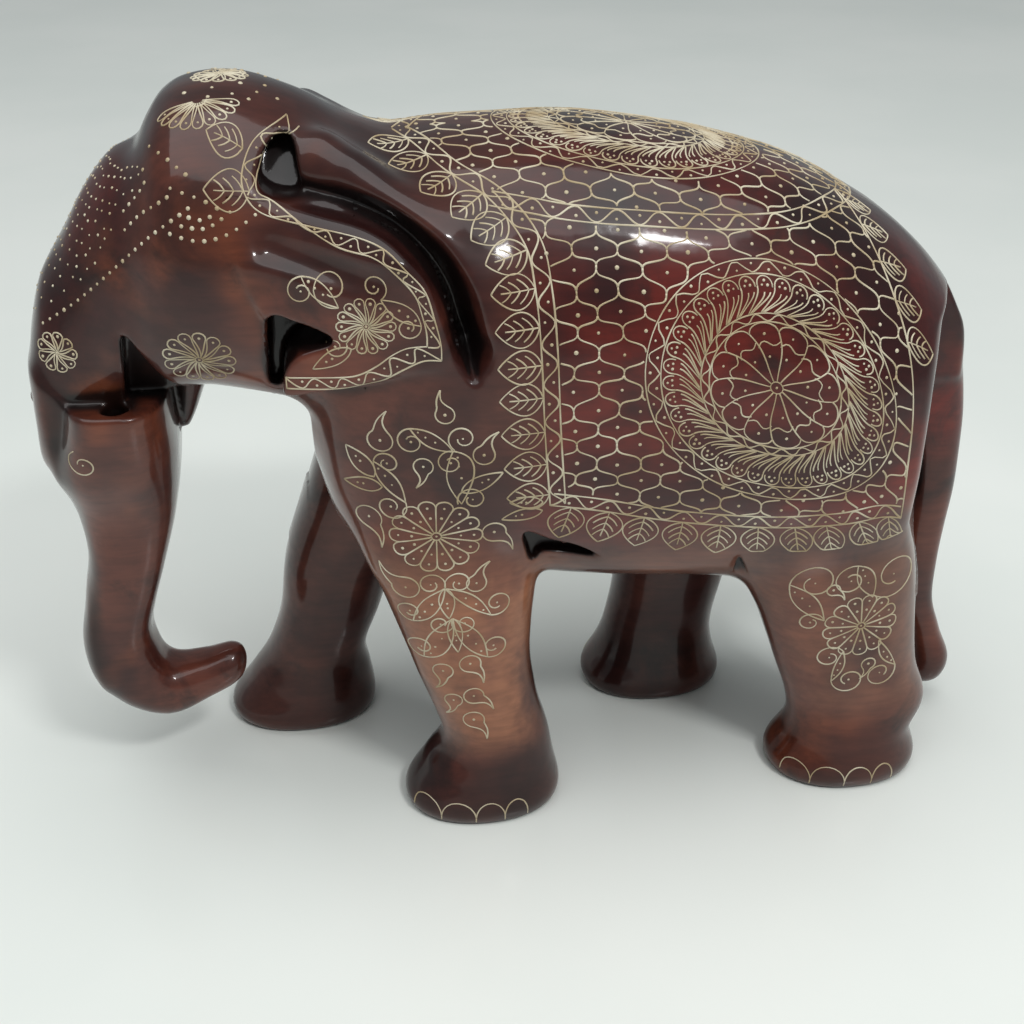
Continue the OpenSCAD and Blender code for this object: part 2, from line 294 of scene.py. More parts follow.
# The crown is one dome, and the forehead is a second, lower one in front of a notch.
head_stations = [
    body_ring(NECK_X + 12, CROWN_H - 26, CHIN_H - 24, 0.70 * HALF_HEAD, 2),
    body_ring(NECK_X + 2, CROWN_H - 14, CHIN_H - 24, 0.82 * HALF_HEAD, 2),
    body_ring(NECK_X - 12, CROWN_H - 5, CHIN_H - 14, 0.94 * HALF_HEAD, 2),
    body_ring(NECK_X - 28, CROWN_H, CHIN_H - 6, HALF_HEAD, 2.05),
    body_ring(NECK_X - 40, CROWN_H - 1, CHIN_H - 2, 0.98 * HALF_HEAD, 2.1),
    body_ring(NECK_X - 47, CROWN_H - 4.5, CHIN_H - 2, 0.92 * HALF_HEAD, 2.15),
    body_ring(NECK_X - 52, CROWN_H - 11, CHIN_H - 3, 0.85 * HALF_HEAD, 2.2),
    body_ring(NECK_X - 57, CROWN_H - 16, CHIN_H - 5, 0.76 * HALF_HEAD, 2.2),
    body_ring(NECK_X - 63, CROWN_H - 20, CHIN_H - 11, 0.67 * HALF_HEAD, 2.2),
    body_ring(NECK_X - 70, CROWN_H - 28, CHIN_H - 18, 0.58 * HALF_HEAD, 2.2),
    body_ring(NECK_X - 77, CROWN_H - 39, CHIN_H - 24, 0.53 * HALF_HEAD, 2.2),
    body_ring(FACE_X + 7, CROWN_H - 50, CHIN_H - 24, 0.48 * HALF_HEAD, 2.2),
    body_ring(FACE_X + 3, CROWN_H - 61, CHIN_H - 24, 0.41 * HALF_HEAD, 2.2),
    body_ring(FACE_X + 1, CROWN_H - 69, CHIN_H - 14, 0.26 * HALF_HEAD, 2.2),
]

trunk_stations = [
    [TRUNK_X + 29, 0, 43, 2.5, 2.5, 108, 2],
    [TRUNK_X + 26, 0, 40, 6, 6.5, 105, 2],
    [TRUNK_X + 17, 0, 36, 7.5, 8.5, 96, 2.3],
    [TRUNK_X + 5, 0, 33.5, 9.5, 10.5, 82, 2.6],
    [TRUNK_X - 5, 0, 41, 11, 11.5, 42, 2.8],
    [TRUNK_X - 8, 0, 57, 10.5, 12.5, 12, 3],
    [TRUNK_X - 2, 0, 82, 11.2, 15, 0, 3.2],
    [TRUNK_X + 1.5, 0, 104, 14, 19, 0, 3.3],
    [TRUNK_X + 1.5, 0, 122, 17, 27, 0, 3.1],
    [TRUNK_X + 3.5, 0, CHIN_H - 10, 15.5, 31, 0, 3.1],
    [TRUNK_X + 4.5, 0, CHIN_H, 14.5, 33, 0, 3.1],
    [TRUNK_X + 4.5, 0, CHIN_H + 9, 14.5, 33, 0, 3.1],
]

jaw_stations = [
    [JAW_X - 3.5, 0, CHIN_H - 19, 1, 2, 0, 2],
    [JAW_X - 3, 0, CHIN_H - 15, 2.5, 5, 0, 2],
    [JAW_X - 1.5, 0, CHIN_H - 8, 4, 8, 0, 2.3],
    [JAW_X, 0, CHIN_H, 5.5, 11, 0, 2.4],
    [JAW_X, 0, CHIN_H + 6, 5.5, 11, 0, 2.4],
]

tail_stations = [
    [TAIL_X + 10, 0, 7, 2.5, 2.5, 0, 2],
    [TAIL_X + 10.5, 0, 12, 6.5, 7.5, 0, 2],
    [TAIL_X + 10.8, 0, 20, 7, 8.5, 0, 2.2],
    [TAIL_X + 7.5, 0, 31, 5.4, 6.5, 0, 2.2],
    [TAIL_X + 3, 0, 44, 5.6, 5.5, 0, 2.4],
    [TAIL_X + 1, 0, 62, 6.6, 6, 0, 2.6],
    [TAIL_X + 1, 0, 86, 7.4, 6.8, 0, 2.6],
    [TAIL_X - 1, 0, 108, 8.4, 7.4, 4, 2.6],
    [TAIL_X - 5, 0, 128, 9.5, 8, 14, 2.4],
    [TAIL_X - 10, 0, 143, 10, 8, 34, 2.3],
    [TAIL_X - 19, 0, 152, 9, 7, 50, 2.2],
]


def leg_stations(side, foot_x, ankle_x, knee_x, top_x, knee_a, top_a, lean):
    """A leg from the sole up. Above the joint its muscle runs on into the body, leaning by lean."""
    y = side * FOOT_Y
    up = LEG_JOINT_H
    return [
        leg_ring(foot_x, y, 0, HALF_FOOT_L - 1, HALF_FOOT_W - 1, 2.2),
        leg_ring(foot_x, y, 5, HALF_FOOT_L, HALF_FOOT_W, 2.2),
        leg_ring((foot_x + ankle_x) / 2, y, 15, HALF_FOOT_L - 4, HALF_FOOT_W - 2.5, 2.2),
        leg_ring(ankle_x, y, 26, knee_a - 2, 0.76 * HALF_FOOT_W, 2.2),
        leg_ring((ankle_x + knee_x) / 2, y, 42, knee_a - 2, 0.78 * HALF_FOOT_W, 2.3),
        leg_ring(knee_x, y, 62, knee_a, 0.86 * HALF_FOOT_W, 2.4),
        leg_ring((knee_x + top_x) / 2, y, 83, (knee_a + top_a) / 2, 0.96 * HALF_FOOT_W, 2.5),
        leg_ring(top_x, y, up, top_a, HALF_FOOT_W, 2.5),
        leg_ring(top_x + lean, 0.97 * y, up + 20, 0.92 * top_a, HALF_FOOT_W, 2.3),
        leg_ring(top_x + 2 * lean, 0.86 * y, up + 38, 0.66 * top_a, 0.8 * HALF_FOOT_W, 2),
    ]


LEGS = {
    "front_left_leg": leg_stations(-1, -23, -19, -27, -32, 19, 27, 2),
    "front_right_leg": leg_stations(1, -80, -74, -63, -42, 19, 26, 4),
    "hind_left_leg": leg_stations(-1, 98, 101, 90, 77, 25, 33, -2),
    "hind_right_leg": leg_stations(1, 45, 47, 52, 60, 21, 30, 2),
}
NOTCHES = {
    "front_left_leg": (-34, 66),
    "front_right_leg": (-40, 66),
    "hind_left_leg": (78, 70),
    "hind_right_leg": (62, 70),
}

# The ear's outline in x and z. Its edge stands clear of the shoulder behind it.
EAR_RIM = [
    [-82, 208], [-74, 203.2], [-65, 200.6], [-54, 198.2], [-46.3, 194.8], [-40.5, 189.5], [-36.5, 184],
    [-34, 175], [-32.6, 163.2], [-43, 160.5], [-53, 157.5], [-64, 155.5], [-77, 155], [-76, 170],
    [-83, 188],
]

# The bottom of the groove behind the ear, from the crown down: x, z, distance from the middle plane and
# how steeply the shoulder rises out of it.
GROOVE = np.array([
    [-72, 205.5, 25, 0.6],
    [-67, 204, 27, 0.7],
    [-56, 201.5, 30, 0.9],
    [-45, 196.5, 33, 1.2],
    [-37, 189, 34, 1.6],
    [-31.5, 180, 34, 2.2],
    [-28.5, 170, 33, 3.0],
    [-27, 165, 34, 3.0],
    [-26.5, 160, 44, 3.0],
])

# The pocket at the top of that groove, between the back of the head and the front of the shoulder.
POCKET = [[-76, 204], [-76.5, 210], [-73, 215], [-68.5, 215.5], [-67, 210], [-67, 203]]

# The dark notch under the front of the ear, and the hollow between the cheek and the root of the trunk.
EAR_NOTCH = [
    [-77, 176.5], [-71, 175.5], [-61, 169.8], [-70, 166], [-74, 161], [-75.5, 153], [-78.5, 153], [-78, 165],
]
HOLLOW = [[-117, 143], [-117, 155], [-115.5, 167], [-111, 162], [-107, 155], [-103, 146], [-103, 143]]

# The fold across the ear: x, distance from the middle plane and z.
EAR_FOLD = np.array([[-75, 44.5, 195], [-67, 46.5, 192], [-59, 48.5, 188.5], [-52, 50.5, 186]])

# The edge of the shoulder behind the groove, as x, distance from the middle plane and z, and where the
# middle of the bar that rounds it lies from there.
SHOULDER_EDGE = np.array([
    [-63, 29, 211], [-57, 33.5, 208], [-48, 38.5, 201], [-36, 43, 192], [-28, 45, 182], [-22, 46, 170],
    [-21, 45, 157],
])
SHOULDER_BAR = SHOULDER_EDGE - np.array([-2, 6, 1.5])

# The notch between the crown and the forehead, and the dent inside the trunk's curl: middle and radii.
BROW_NOTCH = ([-111.5, 0, 213], [3, 26, 3.5])
CURL_DENT = ([TRUNK_X + 14, 0, 47], [4.5, 14, 3.5])


# ---- the sculpture ----


def tube(points, radius):
    """The distance to a round bar along a line in x, distance from the middle plane and z, on both sides."""
    best = np.full(tuple(SHAPE), 1e9, np.float32)
    for a, b in zip(points[:-1], points[1:]):
        d = b - a
        t = ((X - a[0]) * d[0] + (SIDE_Y - a[1]) * d[1] + (Z - a[2]) * d[2]) / np.float32(d @ d)
        t = np.clip(t, 0, 1)
        away = (X - a[0] - t * d[0]) ** 2 + (SIDE_Y - a[1] - t * d[1]) ** 2 + (Z - a[2] - t * d[2]) ** 2
        best = np.minimum(best, away)
    return np.sqrt(best) - np.float32(radius)


def ear_plate():
    """The ear fills its outline out to a face that leans in towards the crown and the cheek."""
    face_y = EAR_FACE_Y - 1.5 - 0.13 * np.maximum(0, -36 - X) - 0.62 * np.maximum(0, Z - 190)
    return keep(prism(EAR_RIM), keep(SIDE_Y - face_y, EAR_SEAT_Y - 16 - SIDE_Y, 1), 2.5).astype(np.float32)


def ear_groove():
    """A trough behind the ear, steep under its rim and rising to the shoulder, with a pocket on top."""
    line = catmull(GROOVE, 5)
    away, side, place = nearest_on_line(line[:, :2])
    floor = np.interp(place, np.arange(len(line)), line[:, 2])
    steep = np.interp(place, np.arange(len(line)), line[:, 3])
    rise = np.where(side > 0, steep, 4) * away
    wedge = (floor + rise)[:, None, :] - SIDE_Y
    along = line[1, :2] - line[0, :2]
    along /= np.linalg.norm(along)
    end = -((X - line[0, 0]) * along[0] + (Z - line[0, 1]) * along[1])
    reach = (away - 13)[:, None, :]
    trough = np.maximum(np.maximum(wedge * 0.7, end), reach)
    pocket = np.maximum(prism(POCKET), 0.85 * (23 - 0.8 * (Z - 203) - SIDE_Y))
    return np.minimum(trough, pocket).astype(np.float32)


def behind_flank():
    """What is cut away behind each flank, down to the ridge that the tail hangs from."""
    edge_x = TAIL_JOINT_X - 21.5
    face = 0.92 * (X - edge_x) + 0.39 * (SIDE_Y - HALF_W)
    face = face - 0.6 * np.maximum(0, Z - BACK_H + 50) - 0.25 * np.maximum(0, 100 - Z)
    ridge = np.clip(Z - 122, -4, 8)
    return np.maximum(-face, ridge - SIDE_Y).astype(np.float32)


def belly_crease(name, stations):
    """The chisel cut where a leg meets the belly, as an outline in x and z."""
    thigh, top = stations[6], stations[7]
    if "hind" in name:
        x = thigh[0] - thigh[3]
        return [[x - 4, 95], [x - 2, 92], [x + 2.5, 80], [x + 0.5, 79], [x - 2.5, 86]]
    x = top[0] + top[3]
    front = [[x - 7, 109], [x - 6, 101], [x - 4, 96], [x - 2, 100]]
    return front + [[x + 5, 99.5], [x + 15, 97], [x + 7, 103], [x, 105.5]]


def tusk_sockets():
    """The hole drilled for a tusk on each side, tilted outwards."""
    tilt_y, tilt_z = math.sin(SOCKET_TILT), math.cos(SOCKET_TILT)
    height = (SIDE_Y - SOCKET_Y) * tilt_y + (Z - CHIN_H) * tilt_z
    across = (SIDE_Y - SOCKET_Y) * tilt_z - (Z - CHIN_H) * tilt_y
    bore = np.hypot(X - SOCKET_X, across) - SOCKET_R
    return np.maximum(np.maximum(bore, -SOCKET_DEPTH - height), height - 8)


def sculpt():
    """The whole figure as one field, with the parts that the joints are found from."""
    body = loft(body_stations)
    head = loft(head_stations)
    trunk = loft(trunk_stations)
    jaw = loft(jaw_stations)
    tail = loft(tail_stations)
    legs = {name: loft(stations) for name, stations in LEGS.items()}

    # The far shoulder is kept low, under a roof that falls away from the spine.
    shoulder = tube(SHOULDER_BAR, 6.0)
    far_roof = Z + 0.26 * Y - BACK_H + 2 - 0.8 * np.maximum(0, NECK_X + 6 - X)
    form = join(body, keep(shoulder, far_roof.astype(np.float32), 3), 12)

    # The head is cut off level with the trunk's ledges, and lower in front, where it flows into the trunk.
    nose_flow = 2 * np.maximum(0, TRUNK_X - 6 - X)
    nose_edge = 2 + 7 * np.clip((TRUNK_X - 3 - X) / 8, 0, 1)
    form = join(form, keep(head, CHIN_H - nose_flow - Z, nose_edge), 8)
    # depth keeps how deep each cut went, for the painted shade in the cuts.
    depth = np.zeros_like(form)

    def carve(form, tool, k):
        """Cuts tool away and notes how deep in the old form each place was."""
        left = cut(form, tool.astype(np.float32), k)
        np.maximum(depth, left - form, out=depth)
        return left

    form = carve(form, ear_groove(), 1.2)
    form = join(form, ear_plate(), 2)
    for leg in legs.values():
        form = join(form, keep(leg, -Z, 0.8), 5)
    form = cut(form, behind_flank(), 2)
    form = join(form, tail, 3)
    form = join(form, jaw, 2)
    blend = 1.5 + 12 * np.clip((TRUNK_X - 7 - X) / 8, 0, 1)
    form = join(form, keep(trunk, Z - CHIN_H, 1.2), blend)
    form = np.minimum(form, np.maximum(head, trunk))
    form = carve(form, np.maximum(prism(EAR_NOTCH), 25 - SIDE_Y), 0.8)
    above_ledge = 15 + 0.3 * (Z - CHIN_H) - SIDE_Y
    form = carve(form, np.maximum(np.maximum(prism(HOLLOW), above_ledge), CHIN_H - Z), 1.0)
    form = carve(form, tube(EAR_FOLD, 4.8), 2)
    form = cut(form, ellipsoid(*BROW_NOTCH), 5)
    for name, stations in LEGS.items():
        outside = Y if "right" in name else -Y
        form = carve(form, np.maximum(prism(belly_crease(name, stations)), HALF_W - 16 - outside), 1)
    form = carve(form, tusk_sockets(), 0.3)
    form = cut(form, ellipsoid(*CURL_DENT), 1.5)

    # The unevenness of a hand-carved surface, which fades out towards the flat soles.
    uneven = 0.32 * waves(13, 3) + 0.22 * waves(6.5, 4)
    form = soften(form + uneven.astype(np.float32) * np.clip(Z / 12, 0, 1))
    form = np.maximum(form, -Z)
    parts = {"body": body, "trunk": trunk, "jaw": jaw, "tail": tail, "depth": depth}
    return form.astype(np.float32), parts, legs


def block_regions(parts, legs):
    """Where each CAD block's material is: a field that is negative inside its part of the figure."""

    def nearer(name_field, others):
        return (name_field - np.minimum.reduce(others)) / 2

    regions = {}
    for name, leg in legs.items():
        middle, length = NOTCHES[name]
        outside = -Y if "right" in name else Y
        corner = np.maximum(np.abs(X - middle) - length / 2, outside + LEG_INNER_Y)
        corner = np.maximum(corner, Z - LEG_JOINT_H)
        others = [f for other, f in legs.items() if other != name] + [parts["trunk"], parts["tail"]]
        below = np.maximum(Z - BELLY_H + 4, nearer(leg, others))
        own = np.maximum(np.maximum(leg - 0.4, Z - LEG_JOINT_H), outside + LEG_INNER_Y)
        regions[name] = np.minimum(np.minimum(corner, below), own).astype(np.float32)
    ear = np.maximum(prism(EAR_RIM) - 2, EAR_SEAT_Y - SIDE_Y)
    regions["left_ear"] = np.maximum(ear, Y).astype(np.float32)
    regions["right_ear"] = np.maximum(ear, -Y).astype(np.float32)
    head = np.maximum(X - NECK_X, CHIN_H - Z)
    regions["head_block"] = np.maximum(head, -ear).astype(np.float32)
    torso_and_legs = [parts["body"]] + list(legs.values())
    trunk = nearer(parts["trunk"], torso_and_legs + [parts["jaw"]])
    jaw = nearer(parts["jaw"], torso_and_legs + [parts["trunk"]])
    regions["trunk_block"] = np.maximum(Z - CHIN_H, trunk).astype(np.float32)
    regions["lower_jaw"] = np.maximum(Z - CHIN_H, jaw).astype(np.float32)
    tail = np.minimum(BELLY_H + 28 - Z, nearer(parts["tail"], list(legs.values())))
    regions["tail_block"] = np.maximum(TAIL_JOINT_X - X, tail).astype(np.float32)
    rest = -np.minimum.reduce(list(regions.values()))
    regions["torso_block"] = rest.astype(np.float32)
    return regions


# ---- sampling the field ----


def sample(field, points):
    """The field at points in millimetres."""
    place = (np.asarray(points) - GRID_LOW) / VOXEL
    cell = np.clip(np.floor(place).astype(int), 0, np.array(field.shape) - 2)
    t = np.clip(place - cell, 0, 1)
    value = np.zeros(len(place))
    for corner in range(8):
        step = np.array([corner & 1, corner >> 1 & 1, corner >> 2])
        weight = np.prod(np.where(step, t, 1 - t), axis=1)
        i, j, k = (cell + step).T
        value += weight * field[i, j, k]
    return value


def slope(field, points):
    """How the field changes along x, y and z at points."""
    reach = 0.75 * VOXEL
    steps = [reach * axis for axis in np.eye(3)]
    rises = [sample(field, points + step) - sample(field, points - step) for step in steps]
    return np.stack(rises, 1) / (2 * reach)


def settle(field, points):
    """Moves points onto the field's surface."""
    g = slope(field, points)
    size = np.maximum((g * g).sum(1), 0.05)
    step = np.clip(sample(field, points) / size, -VOXEL, VOXEL)
    return points - step[:, None] * g


def outward(field, points):
    """The direction straight out of the field's surface."""
    g = slope(field, points)
    return g / np.maximum(np.linalg.norm(g, axis=1), 1e-6)[:, None]


# ---- meshes ----


def new_object(name, points, faces, material, smooth=True):
    """A mesh piece from points in millimetres."""
    mesh = bpy.data.meshes.new(name)
    mesh.from_pydata((np.asarray(points) * MM).tolist(), [], [list(f) for f in faces])
    mesh.validate()
    mesh.polygons.foreach_set("use_smooth", [smooth] * len(mesh.polygons))
    obj = bpy.data.objects.new(name, mesh)
    bpy.context.scene.collection.objects.link(obj)
    mesh.materials.append(material)
    return obj


def block_mesh(name, form, region, material):
    """One block: the figure inside its region, its vertices settled on the surface, joint and rim."""
    inside = np.argwhere(np.maximum(form, region)[::2, ::2, ::2] < 2 * VOXEL) * 2
    low = np.maximum(inside.min(0) - 4, 0)
    high = np.minimum(inside.max(0) + 6, SHAPE)
    window = tuple(slice(a, b) for a, b in zip(low, high))
    level = openvdb.FloatGrid(float(BAND * VOXEL))
    level.copyFromArray(np.ascontiguousarray(np.maximum(form[window], region[window])))
    points, _, quads = level.convertToPolygons(isovalue=0.0, adaptivity=0.0)
    points = (points + low) * VOXEL + GRID_LOW
    on_form = np.abs(sample(form, points))
    on_joint = np.abs(sample(region, points))
    rim = (on_form < 0.8 * VOXEL) & (on_joint < 0.8 * VOXEL)
    outer = (on_form <= on_joint) & ~rim
    joint = ~outer & ~rim
    for _ in range(4):
        points[outer | rim] = settle(form, points[outer | rim])
        points[joint | rim] = settle(region, points[joint | rim])
    obj = new_object(name, points, quads, material)
    mesh = obj.data
    corners = np.zeros(len(mesh.loops), np.int64)
    mesh.loops.foreach_get("vertex_index", corners)
    face_normals = np.zeros(len(mesh.polygons) * 3)
    mesh.polygons.foreach_get("normal", face_normals)
    face_normals = np.repeat(face_normals.reshape(-1, 3), 4, axis=0)
    surface_normals = outward(form, points)[corners]
    is_joint = np.repeat(joint[corners].reshape(-1, 4).any(1), 4)
    normals = np.where(is_joint[:, None], face_normals, surface_normals)
    mesh.normals_split_custom_set(normals.tolist())
    return obj


# ---- laying drawings on the carved surface ----

STROKE_STEP = 0.85
LINE_W = 0.54
THIN_W = 0.45
FINE_W = 0.42
LINE_H = 0.16
LINE_SUNK = 0.08
LINE_BREAK = 4.5
DOT_SIDES = 7
RAY_STEPS = 34
SIDE_START_Y = 61.0
BODY_AXIS_H = 140
COLUMN_STEP = 3.0


def onto_surface(form, starts, aims):
    """Where rays from starts towards aims meet the figure, and the surface normals there."""
    aims = aims / np.linalg.norm(aims, axis=1)[:, None]
    points = starts.copy()
    for _ in range(RAY_STEPS):
        away = np.clip(sample(form, points), -1.5, 9) * 0.85
        points += away[:, None] * aims
    return points, outward(form, points)


class Surface:
    """A part of the figure to draw on. hand is -1 on its left side and 1 on its right."""

    def __init__(self, form, hand):
        self.form, self.hand = form, hand


class Side(Surface):
    """Lays flat drawings in x and z on the side of the figure.

    shift holds heights and how far the drawing moves along x there, on the right side only.
    """

    def __init__(self, form, hand, shift=None):
        super().__init__(form, hand)
        self.shift = shift

    def lay(self, flat):
        x, z = flat[:, 0], flat[:, 1]
        if self.shift and self.hand > 0:
            x = x + np.interp(z, self.shift[0], self.shift[1])
        start = np.stack([x, np.full(len(x), self.hand * SIDE_START_Y), z], 1)
        aim = np.tile([0.0, -self.hand, 0.0], (len(x), 1))
        return onto_surface(self.form, start, aim)


class Cloth(Surface):
    """Lays drawings in x and in the length down the body from the spine."""

    def __init__(self, form, hand):
        super().__init__(form, hand)
        self.columns = np.arange(-60, 126, COLUMN_STEP)
        self.turns = np.radians(np.arange(0, 133, 3.0))
        self.depths = np.array([self.depth_at(x) for x in self.columns])

    def rays(self, x, turn):
        across = np.stack([np.zeros(len(turn)), self.hand * np.sin(turn), np.cos(turn)], 1)
        axis = np.stack([x, np.zeros(len(turn)), np.full(len(turn), BODY_AXIS_H)], 1)
        reach = np.minimum(86, 60 / np.maximum(np.abs(np.sin(turn)), 1e-3))
        return axis + reach[:, None] * across, -across

    def depth_at(self, x):
        start, aim = self.rays(np.full(len(self.turns), x), self.turns)
        points, _ = onto_surface(self.form, start, aim)
        steps = np.linalg.norm(np.diff(points, axis=0), axis=1)
        return np.concatenate([[0], np.cumsum(steps)])

    def lay(self, flat):
        x, down = flat[:, 0], flat[:, 1]
        place = np.clip((x - self.columns[0]) / COLUMN_STEP, 0, len(self.columns) - 1.001)
        column = place.astype(int)
        part = place - column
        turn = np.zeros(len(x))
        for i in np.unique(column):
            here = column == i
            near = np.interp(np.abs(down[here]), self.depths[i], self.turns)
            far = np.interp(np.abs(down[here]), self.depths[i + 1], self.turns)
            turn[here] = near * (1 - part[here]) + far * part[here]
        return onto_surface(self.form, *self.rays(x, turn * np.where(down < 0, -1, 1)))


class Brow(Surface):
    """Lays drawings on the head, in degrees round from the front and degrees up from level."""

    middle = np.array([NECK_X - 41, 0, CHIN_H + 33])

    def lay(self, flat):
        turn, up = np.radians(flat[:, 0]), np.radians(flat[:, 1])
        level = np.cos(up)
        away = np.stack([-level * np.cos(turn), self.hand * level * np.sin(turn), np.sin(up)], 1)
        reach = np.minimum(62, 57 / np.maximum(np.abs(away[:, 1]), 1e-3))
        reach = np.minimum(reach, 54 / np.maximum(np.abs(away[:, 2]), 1e-3))
        reach = np.minimum(reach, 53 / np.maximum(-away[:, 0], 1e-3))
        return onto_surface(self.form, self.middle + reach[:, None] * away, -away)


class Crown(Surface):
    """Lays drawings in x and in distance from the middle plane on the top of the head."""

    def lay(self, flat):
        start = np.stack([flat[:, 0], self.hand * flat[:, 1], np.full(len(flat), CROWN_H + 8.0)], 1)
        return onto_surface(self.form, start, np.tile([0.0, 0.0, -1.0], (len(flat), 1)))


# ---- the brush ----


def spaced(points, step):
    """The same line with even spacing."""
    points = np.asarray(points, float)
    lengths = np.concatenate([[0], np.cumsum(np.linalg.norm(np.diff(points, axis=0), axis=1))])
    count = max(int(round(lengths[-1] / step)), 2)
    at = np.linspace(0, lengths[-1], count + 1)
    return np.stack([np.interp(at, lengths, points[:, k]) for k in range(points.shape[1])], 1)


class Brush:
    """Gathers strokes and dots, then turns them into one raised mesh of paint."""

    def __init__(self):
        self.points, self.faces, self.count = [], [], 0

    def add(self, points, faces):
        self.points.append(points)
        self.faces.extend(tuple(int(i) + self.count for i in face) for face in faces)
        self.count += len(points)

    def strokes(self, surface, drawings, width=LINE_W, step=STROKE_STEP):
        """Lays each drawn line on the surface as a low rounded bead."""
        lines = [spaced(line, step) for line in drawings if len(line) > 1]
        if not lines:
            return
        flat = np.concatenate(lines)
        points, normals = surface.lay(flat)
        first = 0
        for line in lines:
            last = first + len(line)
            self.bead(points[first:last], normals[first:last], width)
            first = last

    def bead(self, points, normals, width):
        gaps = np.linalg.norm(np.diff(points, axis=0), axis=1)
        breaks = np.concatenate([[0], np.flatnonzero(gaps > LINE_BREAK) + 1, [len(points)]])
        for a, b in zip(breaks[:-1], breaks[1:]):
            if b - a > 1:
                self.bead_run(points[a:b], normals[a:b], width)

    def bead_run(self, p, n, width):
        along = np.gradient(p, axis=0)
        across = np.cross(along, n)
        across /= np.maximum(np.linalg.norm(across, axis=1), 1e-9)[:, None]
        swell = 1 + 0.16 * np.sin(rng.uniform(0, 6.3) + np.arange(len(p)) * rng.uniform(0.1, 0.35))
        half = (0.5 * width * swell)[:, None] * across
        height = LINE_H * swell[:, None] * n
        sunk = LINE_SUNK * n
        inner = 0.55 * half
        rows = np.stack([p - half - sunk, p - inner + height, p + inner + height, p + half - sunk], 1)
        k = 4 * np.arange(len(p) - 1)
        faces = [(i + c, i + c + 4, i + c + 5, i + c + 1) for i in k for c in range(3)]
        faces.append((0, 1, 2, 3))
        end = 4 * (len(p) - 1)
        faces.append((end + 3, end + 2, end + 1, end))
        self.add(rows.reshape(-1, 3), faces)

    def dots(self, surface, places, radius=0.62):
        """Lays a small dome of paint at each place."""
        if not len(places):
            return
        points, normals = surface.lay(np.asarray(places, float))
        sides = DOT_SIDES
        turn = 2 * math.pi * np.arange(sides) / sides
        for p, n in zip(points, normals):
            size = radius * rng.uniform(0.8, 1.15)
            u = np.cross(n, [0.31, 0.17, 0.94])
            u /= np.linalg.norm(u)
            ring = np.outer(np.cos(turn), u) + np.outer(np.sin(turn), np.cross(n, u))
            low = p + size * ring - 0.1 * n
            high = p + 0.62 * size * ring + 0.34 * size * n
            faces = [(i, (i + 1) % sides, sides + (i + 1) % sides, sides + i) for i in range(sides)]
            faces += [(sides + i, sides + (i + 1) % sides, 2 * sides) for i in range(sides)]
            self.add(np.concatenate([low, high, [p + 0.46 * size * n]]), faces)

    def finish(self, name, material):
        obj = new_object(name, np.concatenate(self.points), self.faces, material)
        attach(obj, "root")


# ---- motifs, all drawn flat ----


def polar(centre, radius, turn):
    """Points at radius and turn (in radians) from centre. radius can hold pairs, for an oval."""
    radius = np.asarray(radius, float)
    rx, ry = radius.T if radius.ndim == 2 else (radius, radius)
    return np.stack([centre[0] + rx * np.cos(turn), centre[1] + ry * np.sin(turn)], 1)


def bowed(a, b, bow, count=14):
    """A curve from a to b that bows to its left by bow times its length."""
    a, b = np.asarray(a, float), np.asarray(b, float)
    t = np.linspace(0, 1, count)[:, None]
    left = np.array([-(b - a)[1], (b - a)[0]])
    return a + t * (b - a) + bow * np.sin(math.pi * t) * left


def leaf(base, tip, width, veins=3):
    """A pointed oval leaf with a midrib and pairs of side veins."""
    base, tip = np.asarray(base, float), np.asarray(tip, float)
    along = tip - base
    left = np.array([-along[1], along[0]]) / np.linalg.norm(along)
    t = np.linspace(0, 1, 16)
    body = np.sin(math.pi * t**0.8) ** 0.85
    lines = [base + np.outer(t, along) + np.outer(sign * body * width / 2, left) for sign in (-1, 1)]
    lines.append(np.array([base, base + 0.78 * along]))
    for k in range(veins):
        root = base + along * (0.14 + 0.2 * k)
        reach = 0.34 - 0.05 * k
        for sign in (-1, 1):
            lines.append(bowed(root, root + 0.24 * along + sign * reach * width * left, 0.08 * sign, 5))
    return lines


def drop(heart, tip):
    """A curved drop with a round end at heart. Its dot sits at heart."""
    heart, tip = np.asarray(heart, float), np.asarray(tip, float)
    reach = np.linalg.norm(tip - heart)
    facing = math.atan2(*(tip - heart)[::-1])
    turn = facing + np.linspace(0.75, 2 * math.pi - 0.75, 18)
    rim = polar(heart, np.full(18, 0.36 * reach), turn)
    return [np.concatenate([bowed(tip, rim[0], -0.10, 6), rim[1:-1], bowed(rim[-1], tip, 0.22, 6)])]


def curl(start, centre, way=1, turns=1.15):
    """A line that winds in from start about centre. way is 1 for anticlockwise."""
    start, centre = np.asarray(start, float), np.asarray(centre, float)
    t = np.linspace(0, 1, 26)
    radius = np.linalg.norm(start - centre) * (1 - 0.66 * t)
    turn = math.atan2(*(start - centre)[::-1]) + way * 2 * math.pi * turns * t
    return polar(centre, radius, turn)


def swept(a, knee, b, count=14):
    """A curve from a to b that is pulled towards knee."""
    t = np.linspace(0, 1, count)[:, None]
    return (1 - t) ** 2 * a + 2 * t * (1 - t) * knee + t * t * b


def paisley(node, end, centre, way):
    """A leafy body from node to end whose tip winds in about centre. Returns its lines and dots."""
    node, end, centre = (np.asarray(p, float) for p in (node, end, centre))
    wind = curl(end, centre, -way, 1.2)
    length = np.linalg.norm(end - node)
    heading = wind[0] - wind[1]
    outer = swept(node, end + 0.5 * length * heading / np.linalg.norm(heading), end)
    inner = bowed(node, wind[1], -0.16 * way)
    middle = 0.5 * (outer[9] + inner[8])
    nearer = 0.5 * (outer[6] + inner[5])
    return [outer, inner, wind], [middle, nearer, 0.5 * (outer[11] + inner[11]), centre]


